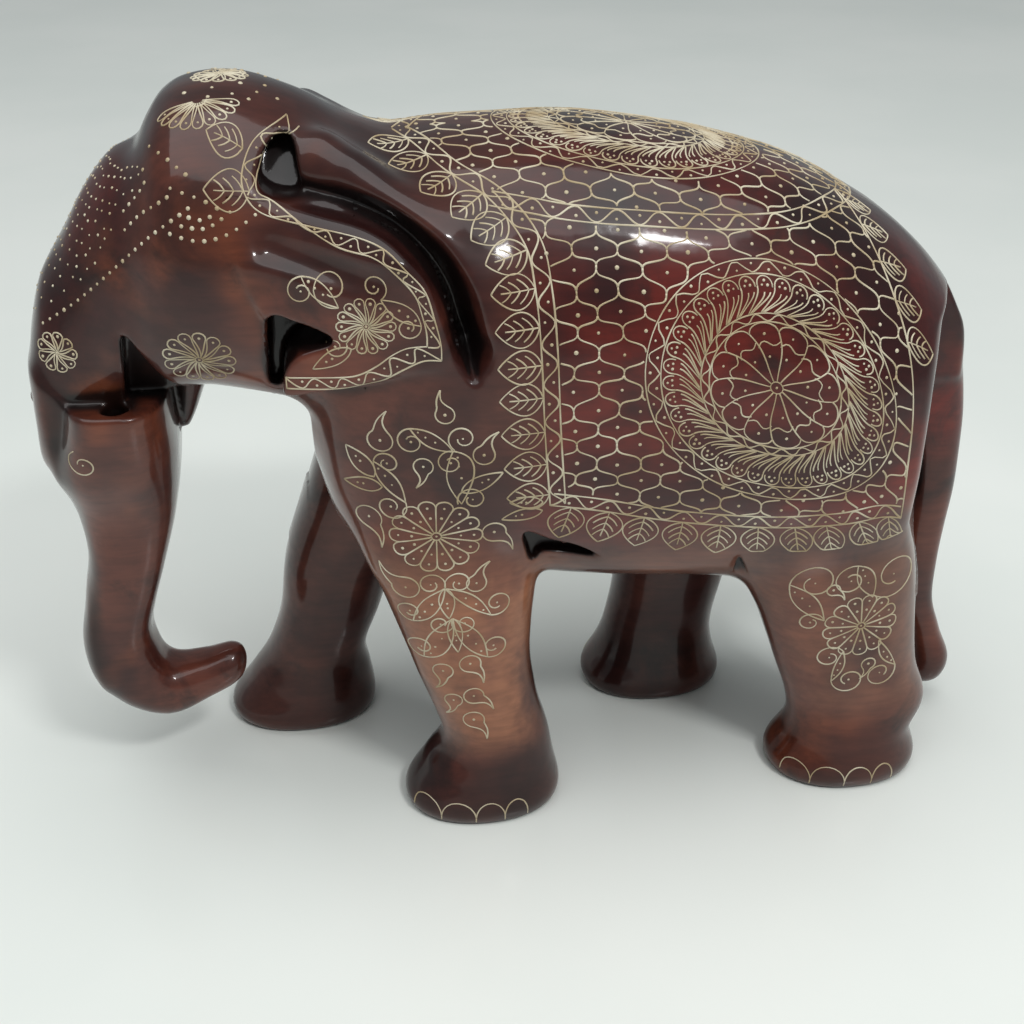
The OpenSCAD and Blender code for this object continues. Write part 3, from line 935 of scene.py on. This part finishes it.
def petal(centre, radius, turn, half, bend=-0.34, taper=0.7):
    """One petal of a round flower, as its outline and its dot. radius can be a pair, for an oval flower."""
    radius = np.broadcast_to(radius, 2)
    t = np.linspace(0, 1, 8)
    swing = turn + bend * (1 - t) ** 1.5
    cap = np.linspace(0, math.pi, 8)[1:-1]
    reach = np.outer(0.12 + 0.68 * t, radius)
    up = polar(centre, reach, swing - half * t**taper)
    over = polar(centre, np.outer(0.80 + 0.19 * np.sin(cap), radius), turn - half * np.cos(cap))
    down = polar(centre, reach, swing + half * t**taper)[::-1]
    return np.concatenate([up, over, down]), polar(centre, 0.80 * radius[None], np.array([turn]))[0]


def rosette(centre, radius, petals, double=False):
    """A round flower whose petals swirl, a dot in each. Returns its lines and dots."""
    radius = np.broadcast_to(radius, 2)
    lines = [polar(centre, np.outer(np.full(15, 0.11), radius), np.linspace(0, 2 * math.pi, 15))]
    dots = [np.asarray(centre, float)]
    step = 2 * math.pi / petals
    for k in range(petals):
        shape = (0.5 * step, 0, 0) if double else (0.46 * step,)
        outline, dot = petal(centre, radius, k * step, *shape)
        lines.append(outline)
        dots.append(dot)
        if double:
            dots.append(polar(centre, 0.52 * radius[None], np.array([k * step]))[0])
    return lines, dots


def left_of(line):
    """The direction to the left of a line at each of its points."""
    along = np.gradient(line, axis=0)
    along /= np.linalg.norm(along, axis=1)[:, None]
    return np.stack([-along[:, 1], along[:, 0]], 1)


def offset_line(line, by):
    """The line moved sideways, to its left for a positive by."""
    line = np.asarray(line, float)
    return line + by * left_of(line)


def wave_band(line, width, pocket):
    """A band with a wave between its two lines and a dot in each pocket. It lies to the left of line."""
    line = spaced(line, 1.0)
    length = len(line) - 1
    count = max(int(round(length / pocket)), 2)
    t = np.arange(len(line)) / length * count
    left = left_of(line)
    wave = line + (width * (0.5 - 0.46 * np.cos(math.pi * t)))[:, None] * left
    middles = np.interp(np.arange(count), t, np.arange(len(line))).round().astype(int)
    dots = [line[i] + width * (0.66 if k % 2 == 0 else 0.34) * left[i] for k, i in enumerate(middles) if k]
    return [line, offset_line(line, width), wave], dots


def leaves_along(line, length, width):
    """Leaves side by side on the right of a line."""
    line = spaced(line, 1.0)
    count = max(int(round((len(line) - 1) / width)), 1)
    out = offset_line(line, -length)
    lines = []
    for k in range(count):
        i = int((k + 0.5) / count * (len(line) - 1))
        lines += leaf(line[i], out[i], 0.94 * width)
    return lines


def medallion(centre, radius, squash=1.0):
    """A great round flower: an arched ring, a ring of curved feathers with dots, a small ring and petals."""
    size = np.array([radius, radius * squash])
    centre = np.asarray(centre, float)

    def at(r, turn):
        r, turn = np.broadcast_arrays(np.asarray(r, float), np.asarray(turn, float))
        return centre + np.stack([size[0] * r * np.cos(turn), size[1] * r * np.sin(turn)], -1)

    full = np.linspace(0, 2 * math.pi, 121)
    t = np.linspace(0, 1, 14)
    lines = [at(r, full) for r in (1.0, 0.885, 0.585, 0.52)]
    lines.append(at(0.942 + 0.050 * np.cos(23 * full), full))
    lines.append(at(0.552 + 0.030 * np.cos(20 * full), full))
    dots = [at(0.942 - 0.022 * (-1) ** k, math.pi * k / 23) for k in range(46)]
    feathers = 37
    step = 2 * math.pi / feathers
    for k in range(feathers):
        a = k * step
        bulb = np.linspace(-0.2, math.pi + 0.2, 10)
        lines.append(at(0.80 + 0.072 * np.sin(bulb), a + 0.44 * step * np.cos(bulb)))
        for place in (-0.44, -0.08, 0.28):
            top = 0.79 if place < -0.3 else 0.745
            bend = 0.25 * (1 - t) ** 1.7
            lines.append(at(0.59 + (top - 0.59) * t, a + step * place * (0.35 + 0.65 * t) - bend))
        dots += [at(0.80, a - 0.16 * step), at(0.80, a + 0.16 * step), at(0.835, a)]
    petals = 12
    step = 2 * math.pi / petals
    for k in range(petals):
        a = k * step
        lines.append(at(0.05 + 0.40 * t, a + 0.10 * np.sin(math.pi * t)))
        lines.append(at(0.33 + 0.05 * t + 0.030 * np.sin(2 * math.pi * t), a + 0.05 + step * t))
        lines.append(at(0.45 + 0.065 * np.sin(math.pi * t) ** 0.5, a + step * t))
        dots += [at(0.25, a + 0.5 * step), at(0.43, a + 0.5 * step)]
    lines.append(at(0.05, full[::8]))
    dots.append(centre)
    return lines, [np.asarray(d) for d in dots]


# ---- the painted saddle cloth ----

CLOTH_FRONT = [[-43, -2], [-32, 22], [-20, 35], [-12, 48], [-10, 60], [-9, 75], [-8, 98], [-6, 122]]
CLOTH_BOTTOM = [[-6, 122], [19, 127], [40, 128], [59, 126], [78, 119], [90, 111], [97, 108]]
CLOTH_REAR = [[79, 12], [83, 30], [88, 46], [92, 60], [94, 75], [95, 95], [97, 108]]
TOP_PANEL_EDGE = [[-19, 33], [-2, 38], [13, 40], [35, 39], [51, 36], [62, 31], [71, 23], [79, 12], [84, -2]]
SIDE_MEDALLION = ([53.5, 82], 35.5, 0.94)
TOP_MEDALLION = ([22, 0], 37.0, 0.80)
NET_W = 11.8
NET_PITCH = 5.3
BAND_W = 4.2


def hand_drift(points):
    """The slow drift of a hand-drawn net, so no two cells are quite alike."""
    x, y = points[:, 0], points[:, 1]
    drift_x = 0.45 * np.sin(0.31 * x + 0.13 * y) + 0.35 * np.sin(0.17 * y - 0.09 * x + 2)
    drift_y = 0.40 * np.sin(0.23 * x - 0.19 * y + 1) + 0.30 * np.sin(0.41 * y + 0.05 * x)
    return points + np.stack([drift_x, drift_y], 1)


def net():
    """Rows of long cells with curled corners, a dot in each."""
    lines, dots = [], []
    t = np.linspace(0, 1, 11)
    ease = 0.5 + 0.5 * np.tanh(5.5 * (t - 0.5)) / math.tanh(2.75)
    upright = 0.10 * NET_PITCH
    for row in range(-1, 27):
        for column in range(-6, 14):
            x = (column + 0.5 * (row % 2)) * NET_W
            y = (row + 0.5) * NET_PITCH
            dots.append([x, y])
            side = [x + NET_W / 2, y]
            lines.append(np.array([[side[0], y - upright], [side[0], y + upright]]))
            down = np.linspace(y + upright, y + NET_PITCH - upright, 11)
            for sign in (-1, 1):
                lines.append(np.stack([x + sign * NET_W / 2 * (1 - ease), down], 1))
    return [hand_drift(line) for line in lines], hand_drift(np.array(dots))


def kept_runs(line, wanted):
    """The stretches of a line that are wanted."""
    line = spaced(line, 0.7)
    good = wanted(line)
    cuts = np.flatnonzero(np.diff(good.astype(int))) + 1
    runs = np.split(line, cuts)
    flags = [good[c] for c in np.concatenate([[0], cuts]).astype(int)]
    return [run for run, flag in zip(runs, flags) if flag and len(run) > 2]


def paint_cloth(form, hand, paint):
    """The saddle cloth on one side: net, bands, leaves and great flower."""
    cloth = Cloth(form, hand)
    front = catmull(CLOTH_FRONT, 6)
    bottom = catmull(CLOTH_BOTTOM, 6)
    rear = catmull(CLOTH_REAR, 6)
    top_edge = catmull(TOP_PANEL_EDGE, 6)
    inner_front = offset_line(front, -BAND_W)
    inner_bottom = offset_line(bottom, -BAND_W)
    low_edge = offset_line(top_edge, BAND_W)
    corner = inner_front[(inner_front[:, 1] > 36) & (inner_front[:, 1] < 116)]
    side_low = inner_bottom[inner_bottom[:, 0] > -1]
    side_top = low_edge[(low_edge[:, 0] < 80) & (low_edge[:, 0] > -14)]
    side_panel = np.concatenate([corner, side_low, rear[::-1], side_top[::-1]])
    crown = inner_front[inner_front[:, 1] < 31]
    top_panel = np.concatenate([crown, top_edge, [[84, -2], [-38, -2]]])

    def off_medallions(points):
        clear = np.ones(len(points), bool)
        for middle, wide, squash in (SIDE_MEDALLION, TOP_MEDALLION):
            oval = (points - middle) / [wide, wide * squash]
            clear &= np.hypot(*oval.T) > 1.01
        return clear

    def in_net(points):
        in_panel = within(side_panel, *points.T) | within(top_panel, *points.T)
        return in_panel & off_medallions(points) & (points[:, 1] >= 0)

    lines, dots = net()
    paint.strokes(cloth, [run for line in lines for run in kept_runs(line, in_net)])
    paint.dots(cloth, dots[in_net(dots)])
    for edge, width in ((front, -BAND_W), (bottom, -BAND_W), (top_edge, BAND_W)):
        band_lines, band_dots = wave_band(edge, width, 5.4)
        paint.strokes(cloth, [line[line[:, 1] >= 0] for line in band_lines])
        paint.dots(cloth, [d for d in band_dots if d[1] >= 0], 0.5)
    paint.strokes(cloth, leaves_along(front[2:][::-1], 11.5, 9.8), THIN_W)
    paint.strokes(cloth, leaves_along(bottom[::-1], 12.5, 10.8), THIN_W)
    paint.strokes(cloth, leaves_along(rear[:20], 9.0, 9.5), THIN_W)
    paint.strokes(cloth, [rear])
    lines, dots = medallion(*SIDE_MEDALLION)
    paint.strokes(cloth, lines, FINE_W)
    paint.dots(cloth, dots, 0.45)


def paint_spine(form, paint):
    """The flowers on the back and on the crown cross the middle plane, so they are painted once."""
    for surface, (lines, dots) in (
        (Cloth(form, -1), medallion(*TOP_MEDALLION)),
        (Crown(form, -1), rosette([-85.5, 0], (7.5, 7), 12)),
    ):
        paint.strokes(surface, lines, FINE_W)
        paint.dots(surface, dots, 0.45)


# ---- the flowers on the legs, ear and head ----


def paint_motifs(surface, paint, drops=(), paisleys=(), curls=(), leaves=(), flowers=(), width=0.5):
    """Paints each motif in the lists, with its dots."""
    for heart, tip in drops:
        paint.strokes(surface, drop(heart, tip), width)
        paint.dots(surface, [heart], 0.5)
    for node, end, centre, way in paisleys:
        lines, dots = paisley(node, end, centre, way)
        paint.strokes(surface, lines, width)
        paint.dots(surface, dots, 0.42)
    for start, centre, way in curls:
        paint.strokes(surface, [curl(start, centre, way)], width)
        paint.dots(surface, [centre], 0.42)
    for base, tip, wide in leaves:
        paint.strokes(surface, leaf(base, tip, wide, veins=0)[:2], width)
        middle = (np.asarray(base, float) + tip) / 2
        paint.dots(surface, [middle, 0.7 * middle + 0.3 * np.asarray(tip, float)], 0.42)
    for centre, radius, petals, double in flowers:
        lines, dots = rosette(centre, radius, petals, double)
        paint.strokes(surface, lines, width)
        paint.dots(surface, dots, 0.48)


def paint_front_leg(form, hand, paint):
    shift = ([26, 62, 104, 140], [-55, -36, -10, -4])
    surface = Side(form, hand, shift)
    drops = [
        ([-51, 140], [-49, 149]), ([-34, 149], [-35, 156]), ([-24, 137], [-20, 144]),
        ([-40, 133], [-42, 126]), ([-55, 114], [-52, 105]), ([-21, 110.5], [-15.5, 103]),
        ([-46, 92], [-53, 100]), ([-26, 93], [-22, 100]), ([-36, 60], [-38, 52]),
        ([-28, 63], [-24, 55]), ([-33, 48], [-35, 41]), ([-27, 50], [-21, 44]),
        ([-27, 40], [-23, 32]),
    ]
    paisleys = [
        ([-45, 121], [-53, 132], [-49.5, 133], 1), ([-30, 121], [-31, 138], [-32.8, 134.5], -1),
        ([-32, 138], [-42, 144.5], [-43, 140.5], -1), ([-35, 92], [-43, 79.5], [-45, 83], 1),
        ([-35, 92], [-23, 81.5], [-20, 85], -1), ([-33, 81], [-40, 65], [-42, 69], 1),
        ([-33, 81], [-24, 65.5], [-21, 69], -1),
    ]
    curls = [
        ([-45, 121], [-49, 119], -1), ([-31, 121], [-27, 122.5], -1), ([-31.7, 138.5], [-29.5, 142], -1),
        ([-35, 92], [-39, 93.5], 1), ([-35, 92], [-31, 93.5], -1),
        ([-33, 81], [-36.5, 79], -1), ([-33, 81], [-29.5, 79], 1),
    ]
    leaves = [([-53, 128], [-60, 137], 5), ([-51, 125], [-61, 125], 4.5), ([-30, 125], [-19, 131.5], 4.5),
              ([-35, 92], [-34, 81], 4.5), ([-33, 81], [-31.5, 68], 4.2)]
    flowers = [([-37, 110], (13, 12), 14, True)]
    paint_motifs(surface, paint, drops, paisleys, curls, leaves, flowers)
    corner = [([-8, 121], [-17, 121], 4), ([-8, 118], [-19, 115], 4)]
    paint_motifs(surface, paint, leaves=corner)


def paint_hind_leg(form, hand, paint):
    shift = ([26, 62, 104], [-54, -38, -17])
    surface = Side(form, hand, shift)
    drops = [([97, 49], [95, 43]), ([81, 80], [85, 76])]
    paisleys = [([80, 68], [68, 80], [75, 83], 1), ([94, 76], [89, 88], [86, 83], -1),
                ([88, 55], [86, 44], [91.5, 43], -1), ([99, 58], [106, 48], [101.5, 44.5], 1)]
    curls = [([80, 68], [76, 67], 1), ([95, 76], [100, 83], 1), ([88, 55], [84, 52.5], 1)]
    paint_motifs(surface, paint, drops, paisleys, curls, flowers=[([92, 65], 12, 13, True)])


EAR_BAND_OUTER = [[-69, 219], [-77, 216], [-80.5, 210], [-80, 205], [-76, 201], [-66, 198.5], [-54, 196],
                  [-47, 193], [-42, 188], [-38, 183], [-36, 176], [-34.5, 169], [-34.5, 164.5]]
EAR_BAND_INNER = [[-66, 217], [-74, 213], [-77, 209], [-77, 205.5], [-73, 203], [-60, 194.5], [-50, 191.5],
                  [-44.5, 187], [-40.5, 182], [-39, 177], [-38, 172], [-38, 168.5]]
EAR_LOW_INNER = [[-38, 168.5], [-43, 168], [-47, 166], [-51, 163], [-56, 160.5], [-62, 160], [-74, 160]]
EAR_LOW_OUTER = [[-34.5, 164.5], [-39, 164.5], [-45, 161.5], [-50, 158.5], [-56, 157], [-64, 156.6],
                 [-74, 157]]


def ladder(outer, inner, pocket):
    """Two drawn lines with a zigzag and dots between them."""
    a, b = spaced(catmull(outer, 6), 1.0), spaced(catmull(inner, 6), 1.0)
    count = max(int(len(a) / pocket), 2)
    turn = np.arange(count + 1)
    zigzag, dots = [], []
    for k in turn:
        edge = a if k % 2 == 0 else b
        other = b if k % 2 == 0 else a
        here = edge[int(k / count * (len(edge) - 1))]
        across = other[int(k / count * (len(other) - 1))]
        zigzag.append(0.94 * here + 0.06 * across)
        dots.append(0.34 * here + 0.66 * across)
    return [a, b, catmull(zigzag, 4)], dots[1:-1]


def paint_ear(form, hand, paint):
    surface = Side(form, hand)
    for outer, inner in ((EAR_BAND_OUTER, EAR_BAND_INNER), (EAR_LOW_OUTER, EAR_LOW_INNER)):
        lines, dots = ladder(outer, inner, 3.6)
        paint.strokes(surface, lines, THIN_W)
        paint.dots(surface, dots, 0.40)
    paint.strokes(surface, [np.array([EAR_LOW_OUTER[-1], EAR_LOW_INNER[-1]])], THIN_W)
    paisleys = [([-59.5, 179], [-67, 187], [-68.5, 183.5], -1),
                ([-49, 181], [-39.5, 175], [-42.5, 173.5], 1)]
    curls = [([-59.5, 179], [-61, 184], -1), ([-49, 181], [-50.5, 184], 1), ([-58, 169], [-61, 168.5], -1)]
    paint_motifs(surface, paint, paisleys=paisleys, curls=curls, leaves=[([-57, 168], [-67, 162.5], 4)],
                 flowers=[([-53, 174], 7.6, 14, False)], width=FINE_W)


# Rows of dots on the side of the head, in x and z.
HEAD_ROWS = [
    [[-137, 167], [-126, 175], [-114, 186], [-103, 196.5], [-94, 203]],
    [[-111, 195], [-106, 200], [-99, 205]],
    [[-98, 207], [-91, 205], [-87, 203]],
    [[-94, 201], [-90, 200.5], [-87, 203]],
    [[-96, 199], [-90, 198.6], [-84, 202]],
    [[-99, 197], [-92, 195.6], [-85, 197], [-78, 201]],
    [[-103, 214], [-99, 213], [-94, 210]],
    [[-105, 209], [-105, 206], [-111, 199]],
]
CROWN_DOTS = [[-94, 10], [-88, 14], [-87, 10], [-82, 13], [-80, 7], [-78, 14], [-76, 10], [-74, 5],
              [-71, 10]]
FOREHEAD_EDGE = [[14, -16], [30, -7], [44, 8], [52, 20], [58, 36], [67, 47], [62, 60]]


def paint_head(form, hand, paint):
    side, brow, crown = Side(form, hand), Brow(form, hand), Crown(form, hand)
    paint_motifs(side, paint, flowers=[([-96, 162], 9.5, 13, False)], width=FINE_W)
    paint.strokes(side, leaf([-79, 206], [-90, 207], 9), FINE_W)
    paint.strokes(crown, leaf([-80, 28], [-88.5, 24.5], 8), FINE_W)
    for row in HEAD_ROWS:
        paint.dots(side, spaced(catmull(row, 6), 2.7), 0.60)
    limit = catmull(FOREHEAD_EDGE, 5)
    field = [[a + 3 * (row % 2), up] for row, up in enumerate(range(-12, 58, 5)) for a in range(3, 64, 6)]
    field = [p for p in field if p[0] < np.interp(p[1], limit[:, 1], limit[:, 0]) - 3]
    paint.dots(brow, np.array(field) + rng.uniform(-1.1, 1.1, (len(field), 2)), 0.42)
    paint.dots(crown, CROWN_DOTS, 0.62)


def paint_fan(form, hand, paint):
    """The half flower on the side of the crown."""
    crown = Crown(form, hand)
    heart = np.array([-90.5, 15.0])
    for k in range(9):
        outline, dot = petal(heart, (10.5, 9), math.pi * (k + 0.5) / 9, 0.16, 0)
        paint.strokes(crown, [outline], 0.4)
        paint.dots(crown, [dot], 0.42)
    paint.strokes(crown, [polar(heart, np.full(12, 2.2), np.linspace(0, math.pi, 12))], 0.4)


def paint_toes(form, hand, paint):
    """Four arched nails on each foot's outer side, each with a short tail between it and the next."""
    side = Side(form, hand)
    arch = np.linspace(0, math.pi, 12)
    for name, stations in LEGS.items():
        if (hand < 0) == ("left" in name):
            edges = stations[0][0] + HALF_FOOT_L * np.array([-0.92, -0.60, -0.17, 0.20, 0.50])
            for a, b in zip(edges[:-1], edges[1:]):
                middle, half = (a + b) / 2, (b - a) / 2
                line = np.stack([middle - half * np.cos(arch), 3.6 + 5.2 * np.sin(arch)], 1)
                paint.strokes(side, [line, np.array([[b, 3.6], [b, 1.8]])], THIN_W)


def paint_trunk(form, hand, paint):
    side = Side(form, hand)
    paint_motifs(side, paint, curls=[([-133, 134], [-131, 130], 1)],
                 flowers=[([-134, 160], 5.5, 9, False)], width=FINE_W)


def paint_figure(form, material):
    """Every painted line and dot, as one raised piece for each part and side and one along the spine."""
    jobs = {
        "front_leg": paint_front_leg,
        "hind_leg": paint_hind_leg,
        "ear": paint_ear,
        "head": paint_head,
        "crown_fan": paint_fan,
        "toes": paint_toes,
        "trunk": paint_trunk,
        "cloth": paint_cloth,
    }
    for hand, side in ((-1, "left"), (1, "right")):
        for name, job in jobs.items():
            paint = Brush()
            job(form, hand, paint)
            paint.finish(f"paint_{name}_{side}", material)
    paint = Brush()
    paint_spine(form, paint)
    paint.finish("paint_spine", material)


def add_attribute(obj, name, values):
    attribute = obj.data.attributes.new(name, "FLOAT", "POINT")
    attribute.data.foreach_set("value", np.asarray(values, np.float32))


def vertex_points(obj):
    co = np.zeros(len(obj.data.vertices) * 3)
    obj.data.vertices.foreach_get("co", co)
    return co.reshape(-1, 3) / MM


def mark_surface(obj, form, depth):
    """Stores per vertex: painted shade in hollows, red stain, painted top shade and dark feet, worn stain.
    """
    points = vertex_points(obj)
    normals = outward(form, points)
    # Painted shade: how closed in each vertex is, sampled 3 and 7 mm out, plus how deep it was carved.
    near = 1 - sample(form, points + 3.0 * normals) / 3.0
    wide = 1 - sample(form, points + 7.0 * normals) / 7.0
    carved_cut_shade = np.clip(sample(depth, points) / 9 - 0.15, 0, 0.5)
    add_attribute(obj, "painted_shade", np.clip(0.5 * near + 0.8 * wide + carved_cut_shade, 0, 1))
    x, z = points[:, 0], points[:, 2]
    on_cloth = np.clip((x + 20) / 18, 0, 1) * np.clip((z - 98) / 14, 0, 1)
    forehead = np.clip((-105 - x) / 12, 0, 1) * np.clip((z - 160) / 15, 0, 1)
    add_attribute(obj, "red_stain", np.clip(on_cloth + 0.7 * forehead, 0, 1))
    shin = np.clip((110 - z) / 25, 0, 1) * np.clip((z - 22) / 14, 0, 1)
    shin = shin * np.clip((np.abs(points[:, 1]) - 30) / 9, 0, 1)
    # Painted shade on upward faces high on the figure; the feet are darker towards the bottom.
    painted_top_shade = np.clip(normals[:, 2] * 1.3, 0, 1) * np.clip((z - 110) / 40, 0, 1)
    foot = np.clip((30 - z) / 12, 0, 0.9)
    add_attribute(obj, "top_shade_and_dark_feet", np.maximum(painted_top_shade, foot))
    add_attribute(obj, "worn", shin * np.clip((20 - x) / 30, 0.35, 1))


# ---- materials ----


class Nodes:
    """Short calls for building a node material."""

    def __init__(self, name):
        self.material = bpy.data.materials.new(name)
        self.material.use_nodes = True
        self.tree = self.material.node_tree
        self.shader = self.tree.nodes["Principled BSDF"]

    def add(self, kind, **inputs):
        node = self.tree.nodes.new(kind)
        for key, value in inputs.items():
            self.plug(value, node.inputs[key.replace("_", " ")])
        return node

    def plug(self, value, socket):
        if isinstance(value, bpy.types.NodeSocket):
            self.tree.links.new(value, socket)
        else:
            socket.default_value = value

    def surface(self, **inputs):
        for key, value in inputs.items():
            self.plug(value, self.shader.inputs[key.replace("_", " ")])

    def place(self, scale):
        coordinates = self.add("ShaderNodeTexCoord").outputs["Object"]
        mapping = self.add("ShaderNodeMapping", Vector=coordinates, Scale=scale)
        return mapping.outputs["Vector"]

    def noise(self, scale, detail, roughness=0.5, distortion=0.0):
        node = self.add("ShaderNodeTexNoise", Vector=self.place(scale), Scale=1.0, Detail=detail)
        node.inputs["Roughness"].default_value = roughness
        node.inputs["Distortion"].default_value = distortion
        return node.outputs["Fac"]

    def attribute(self, name):
        node = self.tree.nodes.new("ShaderNodeAttribute")
        node.attribute_name = name
        return node.outputs["Fac"]

    def spread(self, value, low, high, out_low=0.0, out_high=1.0):
        node = self.tree.nodes.new("ShaderNodeMapRange")
        node.interpolation_type = "SMOOTHSTEP"
        self.plug(value, node.inputs["Value"])
        for key, number in zip(("From Min", "From Max", "To Min", "To Max"), (low, high, out_low, out_high)):
            node.inputs[key].default_value = number
        return node.outputs["Result"]

    def mix(self, factor, a, b, blend="MIX"):
        node = self.tree.nodes.new("ShaderNodeMix")
        node.data_type = "RGBA"
        node.blend_type = blend
        self.plug(factor, node.inputs["Factor"])
        self.plug(a, node.inputs["A"])
        self.plug(b, node.inputs["B"])
        return node.outputs["Result"]

    def math(self, operation, a, b):
        node = self.tree.nodes.new("ShaderNodeMath")
        node.operation = operation
        self.plug(a, node.inputs[0])
        self.plug(b, node.inputs[1])
        return node.outputs[0]


def colour(red, green, blue):
    return (red, green, blue, 1.0)


DARK_BROWN = colour(0.044, 0.012, 0.010)
BROWN = colour(0.140, 0.040, 0.025)
DARK_RED = colour(0.038, 0.006, 0.006)
RED = colour(0.155, 0.016, 0.010)
ORANGE_BROWN = colour(0.340, 0.090, 0.034)
SMOKE = colour(0.022, 0.010, 0.009)
WORN_WOOD = colour(0.330, 0.130, 0.066)
# Multiplied in as painted shade on upper faces and to darken the feet.
TOP_SHADE_AND_FOOT_DARK = colour(0.42, 0.36, 0.38)
# The near black of the painted shade in hollows, creases and cuts.
PAINTED_SHADE_BLACK = colour(0.006, 0.004, 0.004)
PALE_WOOD = colour(0.42, 0.24, 0.11)
PALEST_WOOD = colour(0.62, 0.40, 0.20)
DULL_CREAM = colour(0.42, 0.32, 0.18)
CREAM = colour(0.66, 0.60, 0.45)
FLOOR_GREY = colour(0.78, 0.82, 0.78)
FLOOR_WHITE = colour(0.83, 0.86, 0.82)
ROOM_LIGHT = colour(0.82, 0.88, 0.90)


def stained_wood():
    """Dark red-brown stain rubbed unevenly over the wood, painted shade in its hollows and on top, clear
    lacquer.
    """
    n = Nodes("stained_wood")
    brown = n.mix(n.spread(n.noise((24, 24, 24), 4), 0.35, 0.65), DARK_BROWN, BROWN)
    red = n.mix(n.spread(n.noise((30, 30, 30), 4), 0.38, 0.66), DARK_RED, RED)
    base = n.mix(n.attribute("red_stain"), brown, red)
    warm = n.spread(n.noise((17, 17, 17), 3, 0.6), 0.58, 0.74, 0.0, 0.6)
    base = n.mix(warm, base, ORANGE_BROWN)
    smoke = n.spread(n.noise((42, 42, 42), 5, 0.6, 0.6), 0.52, 0.72, 0.0, 0.75)
    base = n.mix(smoke, base, SMOKE)
    worn = n.math("MULTIPLY", n.attribute("worn"), n.spread(n.noise((34, 34, 26), 4, 0.6), 0.30, 0.62))
    base = n.mix(worn, base, WORN_WOOD)
    # Painted shade darkens the upper faces, and the feet get darker towards the bottom.
    base = n.mix(n.attribute("top_shade_and_dark_feet"), base, n.mix(1.0, base, TOP_SHADE_AND_FOOT_DARK, "MULTIPLY"))
    grain = n.spread(n.noise((60, 420, 420), 3, 0.6), 0.3, 0.7, 0.84, 1.12)
    grey = n.add("ShaderNodeCombineColor", Red=grain, Green=grain, Blue=grain).outputs[0]
    base = n.mix(1.0, base, grey, "MULTIPLY")
    # Painted shade: hollows, creases and carved cuts turn nearly black.
    base = n.mix(n.spread(n.attribute("painted_shade"), 0.25, 0.85, 0.0, 0.92), base, PAINTED_SHADE_BLACK)
    n.surface(Base_Color=base, Roughness=0.40, IOR=1.5, Specular_IOR_Level=0.15)
    n.surface(Coat_Weight=0.8, Coat_IOR=1.42, Coat_Roughness=0.09)
    ripples = n.add("ShaderNodeBump", Height=n.noise((160, 160, 160), 2))
    ripples.inputs["Strength"].default_value = 0.05
    ripples.inputs["Distance"].default_value = 0.001
    n.surface(Normal=ripples.outputs["Normal"], Coat_Normal=ripples.outputs["Normal"])
    return n.material


def plain_wood():
    """The bare wood of the dowels."""
    n = Nodes("plain_wood")
    grain = n.spread(n.noise((40, 40, 500), 4), 0.35, 0.65)
    n.surface(Base_Color=n.mix(grain, PALE_WOOD, PALEST_WOOD), Roughness=0.7)
    return n.material


def cream_paint():
    n = Nodes("cream_paint")
    patches = n.spread(n.noise((90, 90, 90), 3), 0.35, 0.7)
    n.surface(Base_Color=n.mix(patches, DULL_CREAM, CREAM), Roughness=0.42)
    return n.material


def floor_material():
    n = Nodes("pale_floor")
    clouds = n.spread(n.noise((5, 5, 5), 4), 0.3, 0.7)
    n.surface(Base_Color=n.mix(clouds, FLOOR_GREY, FLOOR_WHITE), Roughness=0.22)
    return n.material


# ---- the room, in metres ----

FLOOR_HALF = 3.0
CAMERA_PLACE = (-0.0619, -0.3734, 0.3150)
CAMERA_PITCH = math.radians(31.05)
CAMERA_TURN = math.radians(8)
CAMERA_LENS = 49.2
CAMERA_SENSOR = 36


def build_floor():
    half = FLOOR_HALF
    corners = [(-half, -half, 0), (half, -half, 0), (half, half, 0), (-half, half, 0)]
    floor = new_object("floor", np.array(corners) / MM, [(0, 1, 2, 3)], floor_material(), smooth=False)


def add_lamp(name, place, aim, size, power):
    """A soft box at place that points at aim."""
    light = bpy.data.lights.new(name, "AREA")
    light.shape = "RECTANGLE"
    light.size, light.size_y = size
    light.energy = power
    lamp = bpy.data.objects.new(name, light)
    bpy.context.scene.collection.objects.link(lamp)
    lamp.location = place
    lamp.rotation_euler = (Vector(aim) - Vector(place)).to_track_quat("-Z", "Y").to_euler()


def build_lights():
    world = bpy.data.worlds.new("room")
    world.use_nodes = True
    background = world.node_tree.nodes["Background"]
    background.inputs["Color"].default_value = ROOM_LIGHT
    background.inputs["Strength"].default_value = 0.30
    bpy.context.scene.world = world
    bpy.context.scene.view_settings.view_transform = "Standard"
    add_lamp("ceiling", (-0.2, -0.3, 2.3), (-0.1, 0, 0.1), (3.6, 2.2), 51)
    add_lamp("window", (0.5, -0.9, 1.3), (0, 0, 0.12), (0.28, 0.14), 7)


def build_camera():
    """The camera at the photo's viewing angle."""
    data = bpy.data.cameras.new("camera")
    data.sensor_width = CAMERA_SENSOR
    data.lens = CAMERA_LENS
    camera = bpy.data.objects.new("camera", data)
    camera.location = CAMERA_PLACE
    camera.rotation_euler = (math.pi / 2 - CAMERA_PITCH, 0, -CAMERA_TURN)
    bpy.context.scene.collection.objects.link(camera)
    bpy.context.scene.camera = camera


def build_figure():
    """The eleven carved blocks in place of their CAD blocks. The dowels inside keep their CAD shape."""
    form, parts, legs = sculpt()
    regions = block_regions(parts, legs)
    wood = stained_wood()
    for name, region in regions.items():
        block = block_mesh(name + "_carved", form, region, wood)
        mark_surface(block, form, parts["depth"])
        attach(block, "root")
        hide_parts(name)
    pin_wood = plain_wood()
    for name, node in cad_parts.items():
        if name not in regions:
            node.data.materials.clear()
            node.data.materials.append(pin_wood)
    return form


form = build_figure()
paint_figure(form, cream_paint())
build_floor()
build_lights()
build_camera()
